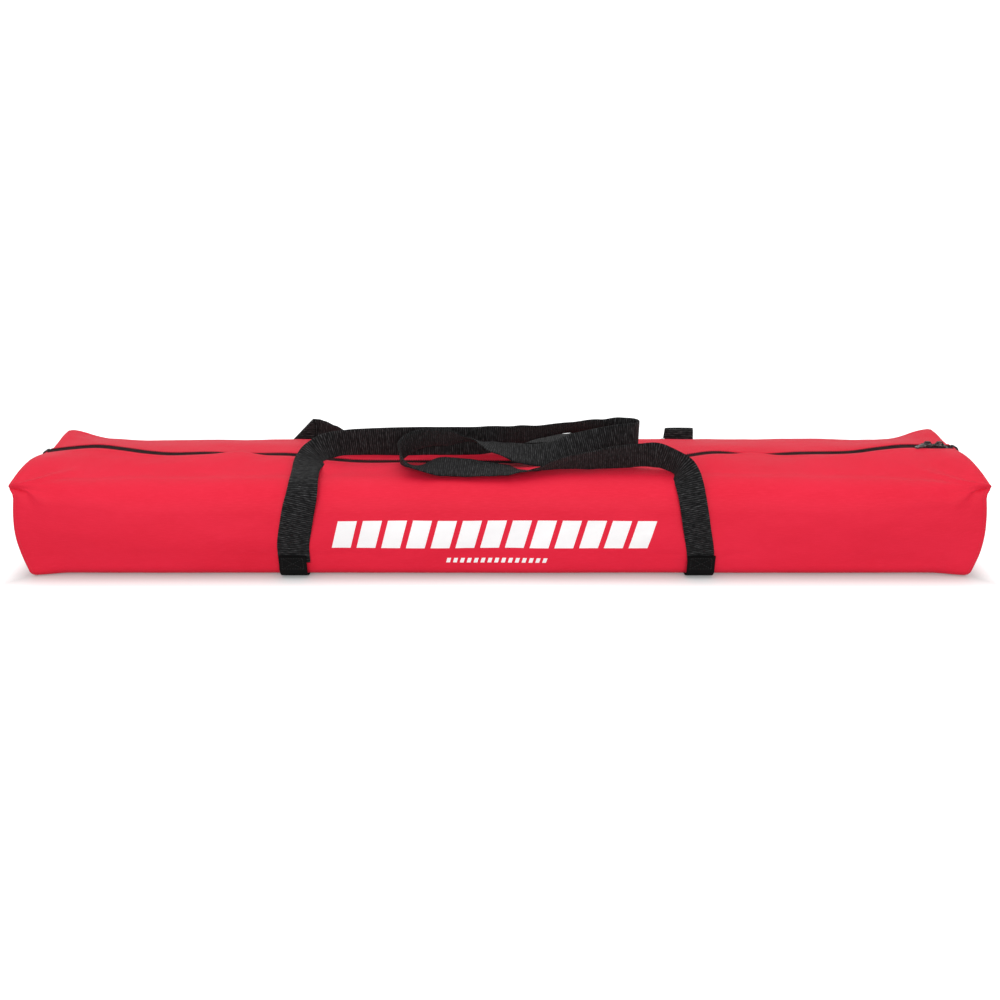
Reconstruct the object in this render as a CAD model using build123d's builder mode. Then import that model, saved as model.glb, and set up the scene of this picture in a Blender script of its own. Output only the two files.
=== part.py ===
"""Portable net kit in its zipped carry bag: the bag, its zip and handles, and the packed frame and net.

X runs along the bag, -Y is the front, +Z is up and the bag rests on z = 0. Millimetres.
"""
import os
from build123d import *

os.makedirs("parts", exist_ok=True)

# Bag
half_length = 551.0
half_depth = 84.0
bag_height = 118.0
base_radius = 16.0
top_radius = 18.0
cloth = 2.4
flap_cloth = 2.0
corner_height = 100.0
mouth_half = 11.0

# Webbing: girth straps and handles
webbing_width = 32.0
handle_width = 36.0
webbing_thick = 1.6
strap_x = 238.0
shoulder_x = 208.0
strap_top = 106.0
hinge_out = 1.2
hinge_z = 108.0
wall_bottom = 130.4
leg_crest = 142.0
peak_left = 139.0
peak_right = 129.0

# Zip
tape_thick = 0.8
tape_top = bag_height - flap_cloth
tape_edge = 4.1
tape_outer = 17.0
coil_gap = 1.1
coil_bottom = tape_top - 1.3
coil_top = tape_top + 1.3
zip_end = 540.0
stop_length = 4.0
slider_length = 14.0
slider_half = 6.0
slider_taper = 5.0
slider_x = {"slider_left": 517.0, "slider_right": 531.4}
plate_thick = 1.5
crown_rise = 9.0
run_clear = 0.4
pull_length = 19.5
pull_thick = 1.0
pull_bar = 1.2
tab_width = 4.6
tab_lap = 0.8
eye_half = 3.2
eye_length = 7.0

# Packed frame
tube_radius = 12.7
tube_wall = 1.25
spigot_radius = 11.2
spigot_length = 45.0
tube_pitch = 27.0
row_heights = (16.0, 43.0)
rail_length = 1000.0
upright_length = 900.0
post_length = 850.0
foot_length = 465.0
button_radius = 3.7
button_travel = 3.5
leaf = 0.7
leaf_width = 6.0
lip_length = 4.0
plug_length = 12.0
cap_wall = 0.5


def save(part, name):
    part.label = name
    export_step(part, f"parts/{name}.step")


def bag_outline(inset=0.0):
    """The bag's section: rounded below and at the shoulders."""
    side = half_depth
    with BuildSketch() as section:
        with BuildLine():
            Line((-side, base_radius), (-side, bag_height - top_radius))
            RadiusArc((-side, bag_height - top_radius), (-side + top_radius, bag_height), top_radius)
            Line((-side + top_radius, bag_height), (side - top_radius, bag_height))
            RadiusArc((side - top_radius, bag_height), (side, bag_height - top_radius), top_radius)
            Line((side, bag_height - top_radius), (side, base_radius))
            RadiusArc((side, base_radius), (side - base_radius, 0), base_radius)
            Line((side - base_radius, 0), (-side + base_radius, 0))
            RadiusArc((-side + base_radius, 0), (-side, base_radius), base_radius)
        make_face()
        if inset:
            offset(amount=-inset, mode=Mode.REPLACE)
    return section.sketch


def girth_section():
    """A strap's U section: under the base in a recess, round the corners, up the sides."""
    outer = half_depth + webbing_thick
    middle = outer - base_radius
    inner_radius = base_radius - webbing_thick
    with BuildSketch() as section:
        with BuildLine():
            Line((-outer, strap_top), (-outer, base_radius))
            RadiusArc((-outer, base_radius), (-middle, 0), -base_radius)
            Line((-middle, 0), (middle, 0))
            RadiusArc((middle, 0), (outer, base_radius), -base_radius)
            Line((outer, base_radius), (outer, strap_top))
            Line((outer, strap_top), (half_depth, strap_top))
            Line((half_depth, strap_top), (half_depth, base_radius))
            RadiusArc((half_depth, base_radius), (middle, webbing_thick), inner_radius)
            Line((middle, webbing_thick), (-middle, webbing_thick))
            RadiusArc((-middle, webbing_thick), (-half_depth, base_radius), inner_radius)
            Line((-half_depth, base_radius), (-half_depth, strap_top))
            Line((-half_depth, strap_top), (-outer, strap_top))
        make_face()
    return section.sketch


# The wrap: front, base and rear, with a recess where each strap passes under the base
wrap_length = 2 * (half_length - cloth)
with BuildPart() as body_panel:
    with BuildSketch(Plane.YZ.offset(-wrap_length / 2)):
        add(bag_outline())
        add(bag_outline(cloth), mode=Mode.SUBTRACT)
        with Locations((0, bag_height)):
            Rectangle(3 * half_depth, 2 * (bag_height - corner_height), mode=Mode.SUBTRACT)
    extrude(amount=wrap_length)
    for side in (-1, 1):
        with BuildSketch(Plane.YZ.offset(side * strap_x - webbing_width / 2)):
            add(girth_section())
        extrude(amount=webbing_width, mode=Mode.SUBTRACT)
save(body_panel.part, "body_panel")

# End panels close the tube of cloth
for name, low in (("left", -half_length), ("right", half_length - cloth)):
    with BuildPart() as end_panel:
        with BuildSketch(Plane.YZ.offset(low)):
            add(bag_outline())
        extrude(amount=cloth)
    save(end_panel.part, f"end_panel_{name}")

# Top flaps run from the wrap's upper edges to the mouth
for name, side in (("front", -1), ("rear", 1)):
    with BuildPart() as top_flap:
        with BuildSketch(Plane.YZ.offset(-wrap_length / 2)):
            add(bag_outline())
            add(bag_outline(flap_cloth), mode=Mode.SUBTRACT)
            Rectangle(3 * half_depth, 2 * corner_height, mode=Mode.SUBTRACT)
            with Locations((-side * (half_depth - mouth_half), bag_height)):
                Rectangle(2 * half_depth, bag_height, mode=Mode.SUBTRACT)
        extrude(amount=wrap_length)
    save(top_flap.part, f"top_flap_{name}")

# Zip: tapes under the flaps, coils on their edges, and an end stop across both
for name, side in (("front", -1), ("rear", 1)):
    with BuildPart() as zip_tape:
        with BuildSketch(Plane.YZ.offset(-zip_end)):
            with Locations((side * (tape_edge + tape_outer) / 2, tape_top - tape_thick / 2)):
                Rectangle(tape_outer - tape_edge, tape_thick)
        extrude(amount=2 * zip_end)
    save(zip_tape.part, f"zip_tape_{name}")
    with BuildPart() as zip_coil:
        with BuildSketch(Plane.YZ.offset(-zip_end)):
            with Locations((side * (tape_edge + coil_gap) / 2, (coil_top + coil_bottom) / 2)):
                Rectangle(tape_edge - coil_gap, coil_top - coil_bottom)
        extrude(amount=2 * zip_end)
        fillet(zip_coil.edges().filter_by(Axis.X), 0.5)
    save(zip_coil.part, f"zip_coil_{name}")
for name, side in (("left", -1), ("right", 1)):
    with BuildPart() as zip_stop:
        with BuildSketch(Plane.YZ.offset(side * (zip_end + 2.5) - stop_length / 2)):
            with Locations((0, tape_top)):
                Rectangle(2 * tape_edge, stop_length)
        extrude(amount=stop_length)
        fillet(zip_stop.edges().filter_by(Axis.Z), 1.0)
    save(zip_stop.part, f"zip_stop_{name}")

# Sliders: two plates on a divider that runs between the coils, lips over the tapes, and a crown
top_low = coil_top + run_clear
bottom_high = coil_bottom - run_clear
crown_low = top_low + plate_thick + crown_rise + 1.9
crown_bar = 1.6
crown_reach = 4.0
crown_lap = 0.2
divider_length = 5.0
divider_width = 1.4
for name, x in slider_x.items():
    with BuildPart() as slider:
        for low in (top_low, bottom_high - plate_thick):
            with BuildSketch(Plane.XY.offset(low)):
                with Locations((x, 0)):
                    SlotOverall(slider_length, 2 * slider_half - 1.0)
                    Rectangle(slider_length - slider_taper, 2 * slider_half)
            extrude(amount=plate_thick)
        lip_width = slider_half - tape_edge - run_clear
        for side in (-1, 1):
            with BuildSketch(Plane.XY.offset(tape_top + run_clear)):
                with Locations((x, side * (slider_half - lip_width / 2))):
                    Rectangle(slider_length - slider_taper, lip_width)
            extrude(amount=top_low - tape_top - run_clear)
            with BuildSketch(Plane.XY.offset(bottom_high)):
                with Locations((x, side * (slider_half - lip_width / 2))):
                    Rectangle(slider_length - slider_taper, lip_width)
            extrude(amount=tape_top - tape_thick - run_clear - bottom_high)
        with BuildSketch(Plane.XY.offset(bottom_high)):
            with Locations((x, 0)):
                SlotOverall(divider_length, divider_width)
        extrude(amount=top_low - bottom_high)
        with BuildSketch(Plane.XZ.offset(-crown_bar / 2)):
            with BuildLine():
                FilletPolyline(
                    (x - crown_reach, top_low + plate_thick - crown_lap),
                    (x - crown_reach, crown_low + crown_bar / 2),
                    (x + crown_reach, crown_low + crown_bar / 2),
                    (x + crown_reach, top_low + plate_thick - crown_lap),
                    radius=1.4,
                )
            trace(line_width=crown_bar)
        extrude(amount=crown_bar)
    save(slider.part, name)

# Pulls: an eye under the crown bar and a flat tab that lies away from the other slider
pull_z = top_low + plate_thick + crown_rise + 0.95
for name, slider_name, way in (("pull_left", "slider_left", -1), ("pull_right", "slider_right", 1)):
    x = slider_x[slider_name]
    with BuildPart() as pull:
        with BuildSketch(Plane.XY.offset(pull_z - pull_thick / 2)):
            with Locations((x + way * (eye_length - pull_bar / 2) / 2, 0)):
                RectangleRounded(eye_length + pull_bar / 2, 2 * eye_half, 0.5)
            with Locations((x + way * (eye_length + pull_bar / 2) / 2, 0)):
                hole_width = 2 * (eye_half - pull_bar) + 0.2
                RectangleRounded(eye_length - pull_bar / 2, hole_width, 0.8, mode=Mode.SUBTRACT)
            with Locations((x + way * (pull_length + eye_length - tab_lap) / 2, 0)):
                RectangleRounded(pull_length - eye_length + tab_lap, tab_width, 1.6)
        extrude(amount=pull_thick)
    save(pull.part, name)

# Girth straps: upright at the rear, and leaning in towards the shoulder on the front
front_start = base_radius + 3
for name, side in (("left", -1), ("right", 1)):
    with BuildPart() as girth_strap:
        with BuildSketch(Plane.YZ.offset(side * strap_x - webbing_width / 2)):
            add(girth_section())
            with Locations((-half_depth, strap_top)):
                Rectangle(base_radius + 4, 2 * (strap_top - front_start - 1), mode=Mode.SUBTRACT)
        extrude(amount=webbing_width)
        with BuildSketch(Plane.XZ.offset(half_depth)):
            half = webbing_width / 2
            Polygon(
                (side * strap_x - half, front_start),
                (side * strap_x + half, front_start),
                (side * shoulder_x + half, strap_top),
                (side * shoulder_x - half, strap_top),
                align=None,
            )
        extrude(amount=webbing_thick)
    save(girth_strap.part, f"girth_strap_{name}")

# Handles start just outside the straps, on the hinge line at each shoulder
hinge_y = half_depth + webbing_thick + hinge_out
leg_start = hinge_z + 0.6
leg_straight = 7.0
leg_bow = 0.62
leg_join = 0.2
with BuildPart() as front_handle:
    far_y, near_y, band_y = 24.0, -2.0, -34.0
    loop_right, loop_left = 150.0, -104.0
    band_overrun = 12.0
    with BuildSketch(Plane.XY.offset(wall_bottom)):
        with BuildLine():
            Line((-shoulder_x - band_overrun, far_y), (loop_right, far_y))
            CenterArc((loop_right, (far_y + near_y) / 2), (far_y - near_y) / 2, -90, 180)
            Line((loop_right, near_y), (loop_left, near_y))
            CenterArc((loop_left, (near_y + band_y) / 2), (near_y - band_y) / 2, 90, 180)
            Line((loop_left, band_y), (shoulder_x + band_overrun, band_y))
        trace(line_width=webbing_thick)
    extrude(amount=handle_width)
    for side, reach in ((-1, far_y - webbing_thick / 2), (1, band_y - webbing_thick / 2)):
        with BuildSketch(Plane.YZ.offset(side * shoulder_x - handle_width / 2)):
            with BuildLine():
                rise = Line((-hinge_y, leg_start), (-hinge_y, leg_start + leg_straight))
                ThreePointArc(rise @ 1, (-leg_bow * hinge_y, leg_crest - 8), (reach + leg_join, leg_crest))
            trace(line_width=webbing_thick)
        extrude(amount=handle_width)
save(front_handle.part, "front_handle")

with BuildPart() as rear_handle:
    run_low = bag_height + 1.6
    fold_gap = 2.6
    run_y = 60.0
    fold_right, fold_left = 150.0, -60.0
    run_high = run_low + 2 * fold_gap
    run_overrun = 16.0
    run_entry = run_y + 14
    with BuildSketch(Plane.XZ.offset(-run_y - handle_width / 2)):
        with BuildLine():
            Line((-strap_x - run_overrun, run_low), (fold_right, run_low))
            CenterArc((fold_right, run_low + fold_gap / 2), fold_gap / 2, -90, 180)
            Line((fold_right, run_low + fold_gap), (fold_left, run_low + fold_gap))
            CenterArc((fold_left, run_low + 1.5 * fold_gap), fold_gap / 2, 90, 180)
            Line((fold_left, run_high), (strap_x + run_overrun, run_high))
        trace(line_width=webbing_thick)
    extrude(amount=handle_width)
    for side, peak, landing in ((-1, peak_left, run_low), (1, peak_right, run_high)):
        with BuildSketch(Plane.YZ.offset(side * strap_x - handle_width / 2)):
            with BuildLine():
                FilletPolyline((hinge_y, leg_start), (hinge_y, peak), (run_entry, landing), radius=3)
            trace(line_width=webbing_thick)
        extrude(amount=handle_width)
save(rear_handle.part, "rear_handle")

# Doubled webbing ends sewn over the straps, low on the front and the rear
with BuildPart() as strap_end_patches:
    patch_width, patch_height, patch_thick = 27.0, 18.0, 0.9
    strap_face = half_depth + webbing_thick
    for side in (-1, 1):
        for plane_at, shift in ((strap_face, 1.5), (-strap_face - patch_thick, 0)):
            with BuildSketch(Plane.XZ.offset(plane_at)):
                with Locations((side * (strap_x - shift), base_radius + 12)):
                    Rectangle(patch_width, patch_height)
            extrude(amount=patch_thick)
save(strap_end_patches.part, "strap_end_patches")


def slot_y(column):
    """The middle of one of the six places in a row of tubes."""
    return (column - 2.5) * tube_pitch


def lengthwise(low, y, z):
    """A plane whose sketch faces +X, at the low end of a tube."""
    return Plane(origin=(low, y, z), x_dir=(0, 1, 0), z_dir=(1, 0, 0))


def tube_with_spigot(low, y, z, length):
    """A steel tube with an open socket end, a reduced spigot, and holes for the snap buttons."""
    high = low + length
    with BuildPart() as tube:
        with BuildSketch(lengthwise(low, y, z)):
            Circle(tube_radius)
            Circle(tube_radius - tube_wall, mode=Mode.SUBTRACT)
        extrude(amount=length)
        with BuildSketch(lengthwise(high - lip_length, y, z)):
            Circle(tube_radius - tube_wall / 2)
            Circle(spigot_radius - tube_wall, mode=Mode.SUBTRACT)
        extrude(amount=lip_length)
        with BuildSketch(lengthwise(high, y, z)):
            Circle(spigot_radius)
            Circle(spigot_radius - tube_wall, mode=Mode.SUBTRACT)
        extrude(amount=spigot_length)
        for x in (low + spigot_length / 2, high + spigot_length / 2):
            with BuildSketch(Plane.XY.offset(z)):
                with Locations((x, y)):
                    Circle(button_radius + 0.3)
            extrude(amount=tube_radius + 1, mode=Mode.SUBTRACT)
    return tube.part


def snap_button(x, y, z):
    """A domed button riveted to a folded leaf spring inside the spigot."""
    button_low = z + 7.0
    button_high = z + spigot_radius + button_travel
    with BuildPart() as button:
        with BuildSketch(Plane.XY.offset(button_low)):
            with Locations((x, y)):
                Circle(button_radius)
        extrude(amount=button_high - button_low)
        fillet(button.edges().filter_by(GeomType.CIRCLE).sort_by(Axis.Z)[-1], 1.8)
        with BuildSketch(Plane.XZ.offset(-y - leaf_width / 2)):
            with BuildLine():
                FilletPolyline(
                    (x + 6, button_low + leaf / 2),
                    (x - 18, button_low + leaf / 2),
                    (x - 18, z - 4.5),
                    (x + 4, z - 4.5),
                    radius=4.0,
                )
            trace(line_width=leaf)
        extrude(amount=leaf_width)
    return button.part


# Base rails fill the lower row, spigots to the right
rail_low = -(rail_length + spigot_length) / 2
lower, upper = row_heights
buttons = []
for column in range(6):
    y = slot_y(column)
    save(tube_with_spigot(rail_low, y, lower, rail_length), f"base_rail_{column + 1}")
    buttons.append((rail_low + rail_length + spigot_length / 2, y, lower))

# Side posts with a capped top, and a cleat on each cap for the net's cord
upright_low = -(upright_length + spigot_length) / 2
for column, name in ((0, "left"), (5, "right")):
    y = slot_y(column)
    save(tube_with_spigot(upright_low, y, upper, upright_length), f"upright_{name}")
    buttons.append((upright_low + upright_length + spigot_length / 2, y, upper))
    cap_length = 22.0
    with BuildPart() as upright_cap:
        with BuildSketch(lengthwise(upright_low - cap_length, y, upper)):
            Circle(tube_radius + cap_wall)
        extrude(amount=cap_length)
        fillet(upright_cap.faces().sort_by(Axis.X)[0].edges(), 3)
        with BuildSketch(lengthwise(upright_low, y, upper)):
            Circle(tube_radius - tube_wall)
        extrude(amount=plug_length)
        with BuildSketch(Plane.XY.offset(upper - 20)):
            with Locations((upright_low - 12, y)):
                SlotOverall(10, 4)
        extrude(amount=40, mode=Mode.SUBTRACT)
    save(upright_cap.part, f"upright_cap_{name}")

# Centre post
post_radius = 9.5
post_low = -post_length / 2
post_y = slot_y(2)
with BuildPart() as centre_post:
    with BuildSketch(lengthwise(post_low, post_y, upper)):
        Circle(post_radius)
        Circle(post_radius - tube_wall, mode=Mode.SUBTRACT)
    extrude(amount=post_length)
save(centre_post.part, "centre_post")
post_cap_length = 26.0
with BuildPart() as centre_post_cap:
    with BuildSketch(lengthwise(post_low - post_cap_length, post_y, upper)):
        Circle(post_radius + 3 * cap_wall)
    extrude(amount=post_cap_length)
    with BuildSketch(lengthwise(post_low, post_y, upper)):
        Circle(post_radius - tube_wall)
    extrude(amount=plug_length)
    with BuildSketch(Plane.XY.offset(upper - 20)):
        with Locations((post_low - 20, post_y)):
            Rectangle(16, 6)
    extrude(amount=40, mode=Mode.SUBTRACT)
save(centre_post_cap.part, "centre_post_cap")

# Foot bars lie two to a place, open end to open end, with rubber caps on their outer ends
foot_gap = 6.0
foot_caps = []
feet = {
    "foot_bar_1": (-foot_length - foot_gap, 1),
    "foot_bar_2": (foot_gap, 1),
    "foot_bar_3": (-foot_length - foot_gap, 3),
    "foot_bar_4": (foot_gap, 3),
    "centre_foot_bar": (-foot_length - foot_gap, 4),
}
for name, (low, column) in feet.items():
    y = slot_y(column)
    with BuildPart() as foot_bar:
        with BuildSketch(lengthwise(low, y, upper)):
            Circle(tube_radius)
            Circle(tube_radius - tube_wall, mode=Mode.SUBTRACT)
        extrude(amount=foot_length)
    save(foot_bar.part, name)
    foot_caps.append((low if low < 0 else low + foot_length, y, -1 if low < 0 else 1))
with BuildPart() as foot_end_caps:
    cap_length = 18.0
    for x, y, way in foot_caps:
        outside = x - cap_length if way < 0 else x
        with BuildSketch(lengthwise(outside, y, upper)):
            Circle(tube_radius + cap_wall)
        extrude(amount=cap_length)
        plug = x if way < 0 else x - plug_length
        with BuildSketch(lengthwise(plug, y, upper)):
            Circle(tube_radius - tube_wall)
        extrude(amount=plug_length)
save(foot_end_caps.part, "foot_end_caps")

for number, (x, y, z) in enumerate(buttons, start=1):
    save(snap_button(x, y, z), f"snap_button_{number}")

# T sockets that join the feet, the posts and the rails, packed at the bag's ends beside the net
socket_radius = 15.5
socket_bore = tube_radius + 0.2
base_z = 76.0
half_run = 37.0
branch_length = 50.0
bases = {"side_base_left": (-470.0, 1), "side_base_right": (470.0, -1), "centre_base": (-445.0, -1)}
for name, (x, way) in bases.items():
    y = 0 if name == "side_base_right" else way * -40.0
    with BuildPart() as socket:
        with BuildSketch(Plane.XZ.offset(-y - half_run)):
            with Locations((x, base_z)):
                Circle(socket_radius)
        extrude(amount=2 * half_run)
        with BuildSketch(lengthwise(x, y, base_z)):
            Circle(socket_radius)
        extrude(amount=-way * branch_length)
        with BuildSketch(Plane.XZ.offset(-y - half_run)):
            with Locations((x, base_z)):
                Circle(socket_bore)
        extrude(amount=2 * half_run, mode=Mode.SUBTRACT)
        with BuildSketch(lengthwise(x, y, base_z)):
            Circle(socket_bore)
        extrude(amount=-way * branch_length, mode=Mode.SUBTRACT)
    save(socket.part, name)

# The folded net, its white top band folded on it, and two ties round both
net_half = 372.0
net_low, net_high = 57.5, 103.0
net_depth = 150.0
tie_width = 38.0
tie_clear = 0.5
tie_thick = 1.2
with BuildPart() as net_pack:
    with BuildSketch(Plane.YZ.offset(-net_half)):
        with Locations((0, (net_low + net_high) / 2)):
            RectangleRounded(net_depth, net_high - net_low, 16)
    extrude(amount=2 * net_half)
save(net_pack.part, "net_pack")
with BuildPart() as net_top_tape:
    with BuildSketch(Plane.XY.offset(net_high)):
        for side in (-1, 1):
            with Locations((side * 180, 0)):
                RectangleRounded(330, 96, 6)
    extrude(amount=2.4)
save(net_top_tape.part, "net_top_tape")
for number, x in ((1, -250.0), (2, 250.0)):
    with BuildPart() as net_tie:
        tie_low, tie_high = net_low - tie_thick, net_high + 4.0
        inner_width = net_depth + 2 * tie_clear
        inner_height = tie_high - tie_low - 2 * tie_thick
        with BuildSketch(Plane.YZ.offset(x - tie_width / 2)):
            with Locations((0, (tie_low + tie_high) / 2)):
                RectangleRounded(inner_width + 2 * tie_thick, inner_height + 2 * tie_thick, 17.5)
                RectangleRounded(inner_width, inner_height, 16.3, mode=Mode.SUBTRACT)
        extrude(amount=tie_width)
    save(net_tie.part, f"net_tie_{number}")
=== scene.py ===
import math
import bpy
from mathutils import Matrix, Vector, noise


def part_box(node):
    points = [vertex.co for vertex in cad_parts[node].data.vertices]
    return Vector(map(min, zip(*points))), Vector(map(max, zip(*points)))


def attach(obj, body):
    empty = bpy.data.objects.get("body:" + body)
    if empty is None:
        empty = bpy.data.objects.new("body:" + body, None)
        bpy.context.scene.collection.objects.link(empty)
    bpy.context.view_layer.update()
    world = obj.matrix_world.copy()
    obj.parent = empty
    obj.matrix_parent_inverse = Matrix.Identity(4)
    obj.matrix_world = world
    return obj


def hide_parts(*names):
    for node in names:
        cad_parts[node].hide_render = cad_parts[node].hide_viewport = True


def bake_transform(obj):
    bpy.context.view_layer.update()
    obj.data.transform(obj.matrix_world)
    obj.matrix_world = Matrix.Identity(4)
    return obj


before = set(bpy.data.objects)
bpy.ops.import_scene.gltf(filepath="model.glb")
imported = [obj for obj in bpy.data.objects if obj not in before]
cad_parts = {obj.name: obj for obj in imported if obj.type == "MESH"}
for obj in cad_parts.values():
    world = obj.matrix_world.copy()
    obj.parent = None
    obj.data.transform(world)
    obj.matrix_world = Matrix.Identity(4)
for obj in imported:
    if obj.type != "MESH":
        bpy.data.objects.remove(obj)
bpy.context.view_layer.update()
mm = 0.001
print("frame loaded:", len(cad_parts), "nodes")


def smooth(low, high, value):
    t = min(1.0, max(0.0, (value - low) / (high - low)))
    return t * t * (3 - 2 * t)


def bell(value, middle, width):
    return math.exp(-(((value - middle) / width) ** 2))


def lerp(a, b, t):
    return a + (b - a) * t


def boxMm(node):
    # a CAD node's corners in millimetres
    low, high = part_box(node)
    return low / mm, high / mm


def addMesh(name, verts, faces, material, uvs=None):
    # millimetre points in, one object in metres out
    mesh = bpy.data.meshes.new(name)
    mesh.from_pydata([(x * mm, y * mm, z * mm) for x, y, z in verts], [], faces)
    mesh.validate()
    if uvs:
        layer = mesh.uv_layers.new(name="clothUv")
        for loop in mesh.loops:
            layer.data[loop.index].uv = uvs[loop.vertex_index]
    for polygon in mesh.polygons:
        polygon.use_smooth = True
    mesh.materials.append(material)
    piece = bpy.data.objects.new(name, mesh)
    bpy.context.collection.objects.link(piece)
    return piece


def bakeModifiers(piece):
    # swap the mesh for the finished one, with no modifier left
    bpy.context.view_layer.update()
    graph = bpy.context.evaluated_depsgraph_get()
    mesh = bpy.data.meshes.new_from_object(piece.evaluated_get(graph))
    piece.modifiers.clear()
    piece.data = mesh
    return piece


def thicken(piece, thickness, offset=-1):
    # a sheet gets its thickness in millimetres
    wall = piece.modifiers.new("wall", "SOLIDIFY")
    wall.thickness = thickness * mm
    wall.offset = offset
    return bakeModifiers(piece)


def gridFaces(rows, columns, closed=False):
    faces = []
    for i in range(rows - 1):
        for j in range(columns if closed else columns - 1):
            k = (j + 1) % columns
            faces.append((i * columns + j, i * columns + k, (i + 1) * columns + k, (i + 1) * columns + j))
    return faces


# Shader building blocks: a tree with short names for the nodes that every finish uses
class Tree:
    def __init__(self, tree):
        self.tree = tree
        self.nodes = tree.nodes
        self.links = tree.links

    def node(self, kind, inputs=None, **settings):
        made = self.nodes.new(kind)
        for key, value in settings.items():
            setattr(made, key, value)
        for key, value in (inputs or {}).items():
            self.feed(value, made.inputs[key])
        return made

    def feed(self, source, target):
        if hasattr(source, "is_output"):
            self.links.new(source, target)
        else:
            target.default_value = source

    def math(self, operation, a, b=0.0, c=0.0):
        made = self.node("ShaderNodeMath", operation=operation)
        for index, value in enumerate((a, b, c)):
            self.feed(value, made.inputs[index])
        return made.outputs[0]

    def mixColor(self, factor, a, b):
        made = self.node("ShaderNodeMix", {"Factor": factor, "A": a, "B": b}, data_type="RGBA")
        return made.outputs["Result"]

    def noise(self, vector, scale, detail=3.0, roughness=0.5):
        inputs = {"Vector": vector, "Scale": scale, "Detail": detail, "Roughness": roughness}
        return self.node("ShaderNodeTexNoise", inputs).outputs["Fac"]

    def stretch(self, vector, scale):
        return self.node("ShaderNodeMapping", {"Vector": vector, "Scale": scale}).outputs["Vector"]

    def ramp(self, value, low, high):
        inputs = {"Value": value, "From Min": low, "From Max": high}
        return self.node("ShaderNodeMapRange", inputs).outputs["Result"]


def makeGroup(name, ins, outs):
    group = bpy.data.node_groups.new(name, "ShaderNodeTree")
    for label, kind, value in ins:
        socket = group.interface.new_socket(label, in_out="INPUT", socket_type=kind)
        if value is not None:
            socket.default_value = value
    for label, kind in outs:
        group.interface.new_socket(label, in_out="OUTPUT", socket_type=kind)
    tree = Tree(group)
    start = tree.node("NodeGroupInput")
    end = tree.node("NodeGroupOutput")
    return group, tree, start, end


def makeWeaveGroup():
    # over-and-under threads on a UV map in metres: a height, and a mask that is 1 on the crowns
    group, tree, start, end = makeGroup(
        "weaveThreads",
        [("Vector", "NodeSocketVector", None), ("Across per m", "NodeSocketFloat", 900.0),
         ("Along per m", "NodeSocketFloat", 900.0), ("Uneven", "NodeSocketFloat", 0.3)],
        [("Height", "NodeSocketFloat"), ("Crown", "NodeSocketFloat")],
    )
    parts = tree.node("ShaderNodeSeparateXYZ", {0: start.outputs["Vector"]})
    wobble = tree.math("MULTIPLY", tree.noise(start.outputs["Vector"], 260.0, 2.0), start.outputs["Uneven"])
    u = tree.math("MULTIPLY", parts.outputs["X"], start.outputs["Across per m"])
    v = tree.math("MULTIPLY", parts.outputs["Y"], start.outputs["Along per m"])
    u = tree.math("ADD", u, wobble)
    v = tree.math("ADD", v, wobble)
    waveU = tree.math("SINE", tree.math("MULTIPLY", u, 2 * math.pi))
    waveV = tree.math("SINE", tree.math("MULTIPLY", v, 2 * math.pi))
    product = tree.math("MULTIPLY", waveU, waveV)
    crown = tree.math("MULTIPLY_ADD", product, 0.5, 0.5)
    tree.feed(crown, end.inputs["Height"])
    tree.feed(tree.math("POWER", crown, 1.6), end.inputs["Crown"])
    return group


def makeRibGroup():
    # webbing: fine ribs across the strap, grouped threads along it
    group, tree, start, end = makeGroup(
        "webbingRibs",
        [("Vector", "NodeSocketVector", None), ("Ribs per m", "NodeSocketFloat", 620.0),
         ("Rows per m", "NodeSocketFloat", 900.0), ("Uneven", "NodeSocketFloat", 0.6)],
        [("Height", "NodeSocketFloat"), ("Crown", "NodeSocketFloat")],
    )
    parts = tree.node("ShaderNodeSeparateXYZ", {0: start.outputs["Vector"]})
    drift = tree.noise(tree.stretch(start.outputs["Vector"], (60.0, 420.0, 1.0)), 1.0, 3.0, 0.7)
    lift = tree.math("MULTIPLY", drift, start.outputs["Uneven"])
    along = tree.math("ADD", tree.math("MULTIPLY", parts.outputs["Y"], start.outputs["Ribs per m"]), lift)
    across = tree.math("MULTIPLY", parts.outputs["X"], start.outputs["Rows per m"])
    rib = tree.math("SINE", tree.math("MULTIPLY", along, 2 * math.pi))
    row = tree.math("ABSOLUTE", tree.math("SINE", tree.math("MULTIPLY", across, math.pi)))
    rib = tree.math("MULTIPLY_ADD", rib, 0.5, 0.5)
    height = tree.math("MULTIPLY_ADD", row, 0.35, tree.math("MULTIPLY", rib, 0.65))
    spots = tree.noise(tree.stretch(start.outputs["Vector"], (150.0, 520.0, 1.0)), 1.0, 3.0, 0.6)
    patch = tree.ramp(spots, 0.35, 0.75)
    tree.feed(height, end.inputs["Height"])
    tree.feed(tree.math("MULTIPLY", tree.math("POWER", height, 4.0), patch), end.inputs["Crown"])
    return group


def makeWearGroup():
    # scuffs and rubbed patches from layered noise on Object coordinates
    group, tree, start, end = makeGroup(
        "rubbedPatches",
        [("Vector", "NodeSocketVector", None), ("Scale", "NodeSocketFloat", 300.0),
         ("Amount", "NodeSocketFloat", 0.5)],
        [("Mask", "NodeSocketFloat")],
    )
    coarse = tree.noise(start.outputs["Vector"], start.outputs["Scale"], 6.0, 0.65)
    edge = tree.math("SUBTRACT", 1.0, start.outputs["Amount"])
    mask = tree.math("MULTIPLY", tree.math("SUBTRACT", coarse, edge), 9.0)
    tree.feed(tree.node("ShaderNodeClamp", {"Value": mask}).outputs[0], end.inputs["Mask"])
    return group


weaveGroup = makeWeaveGroup()
ribGroup = makeRibGroup()
wearGroup = makeWearGroup()


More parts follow.
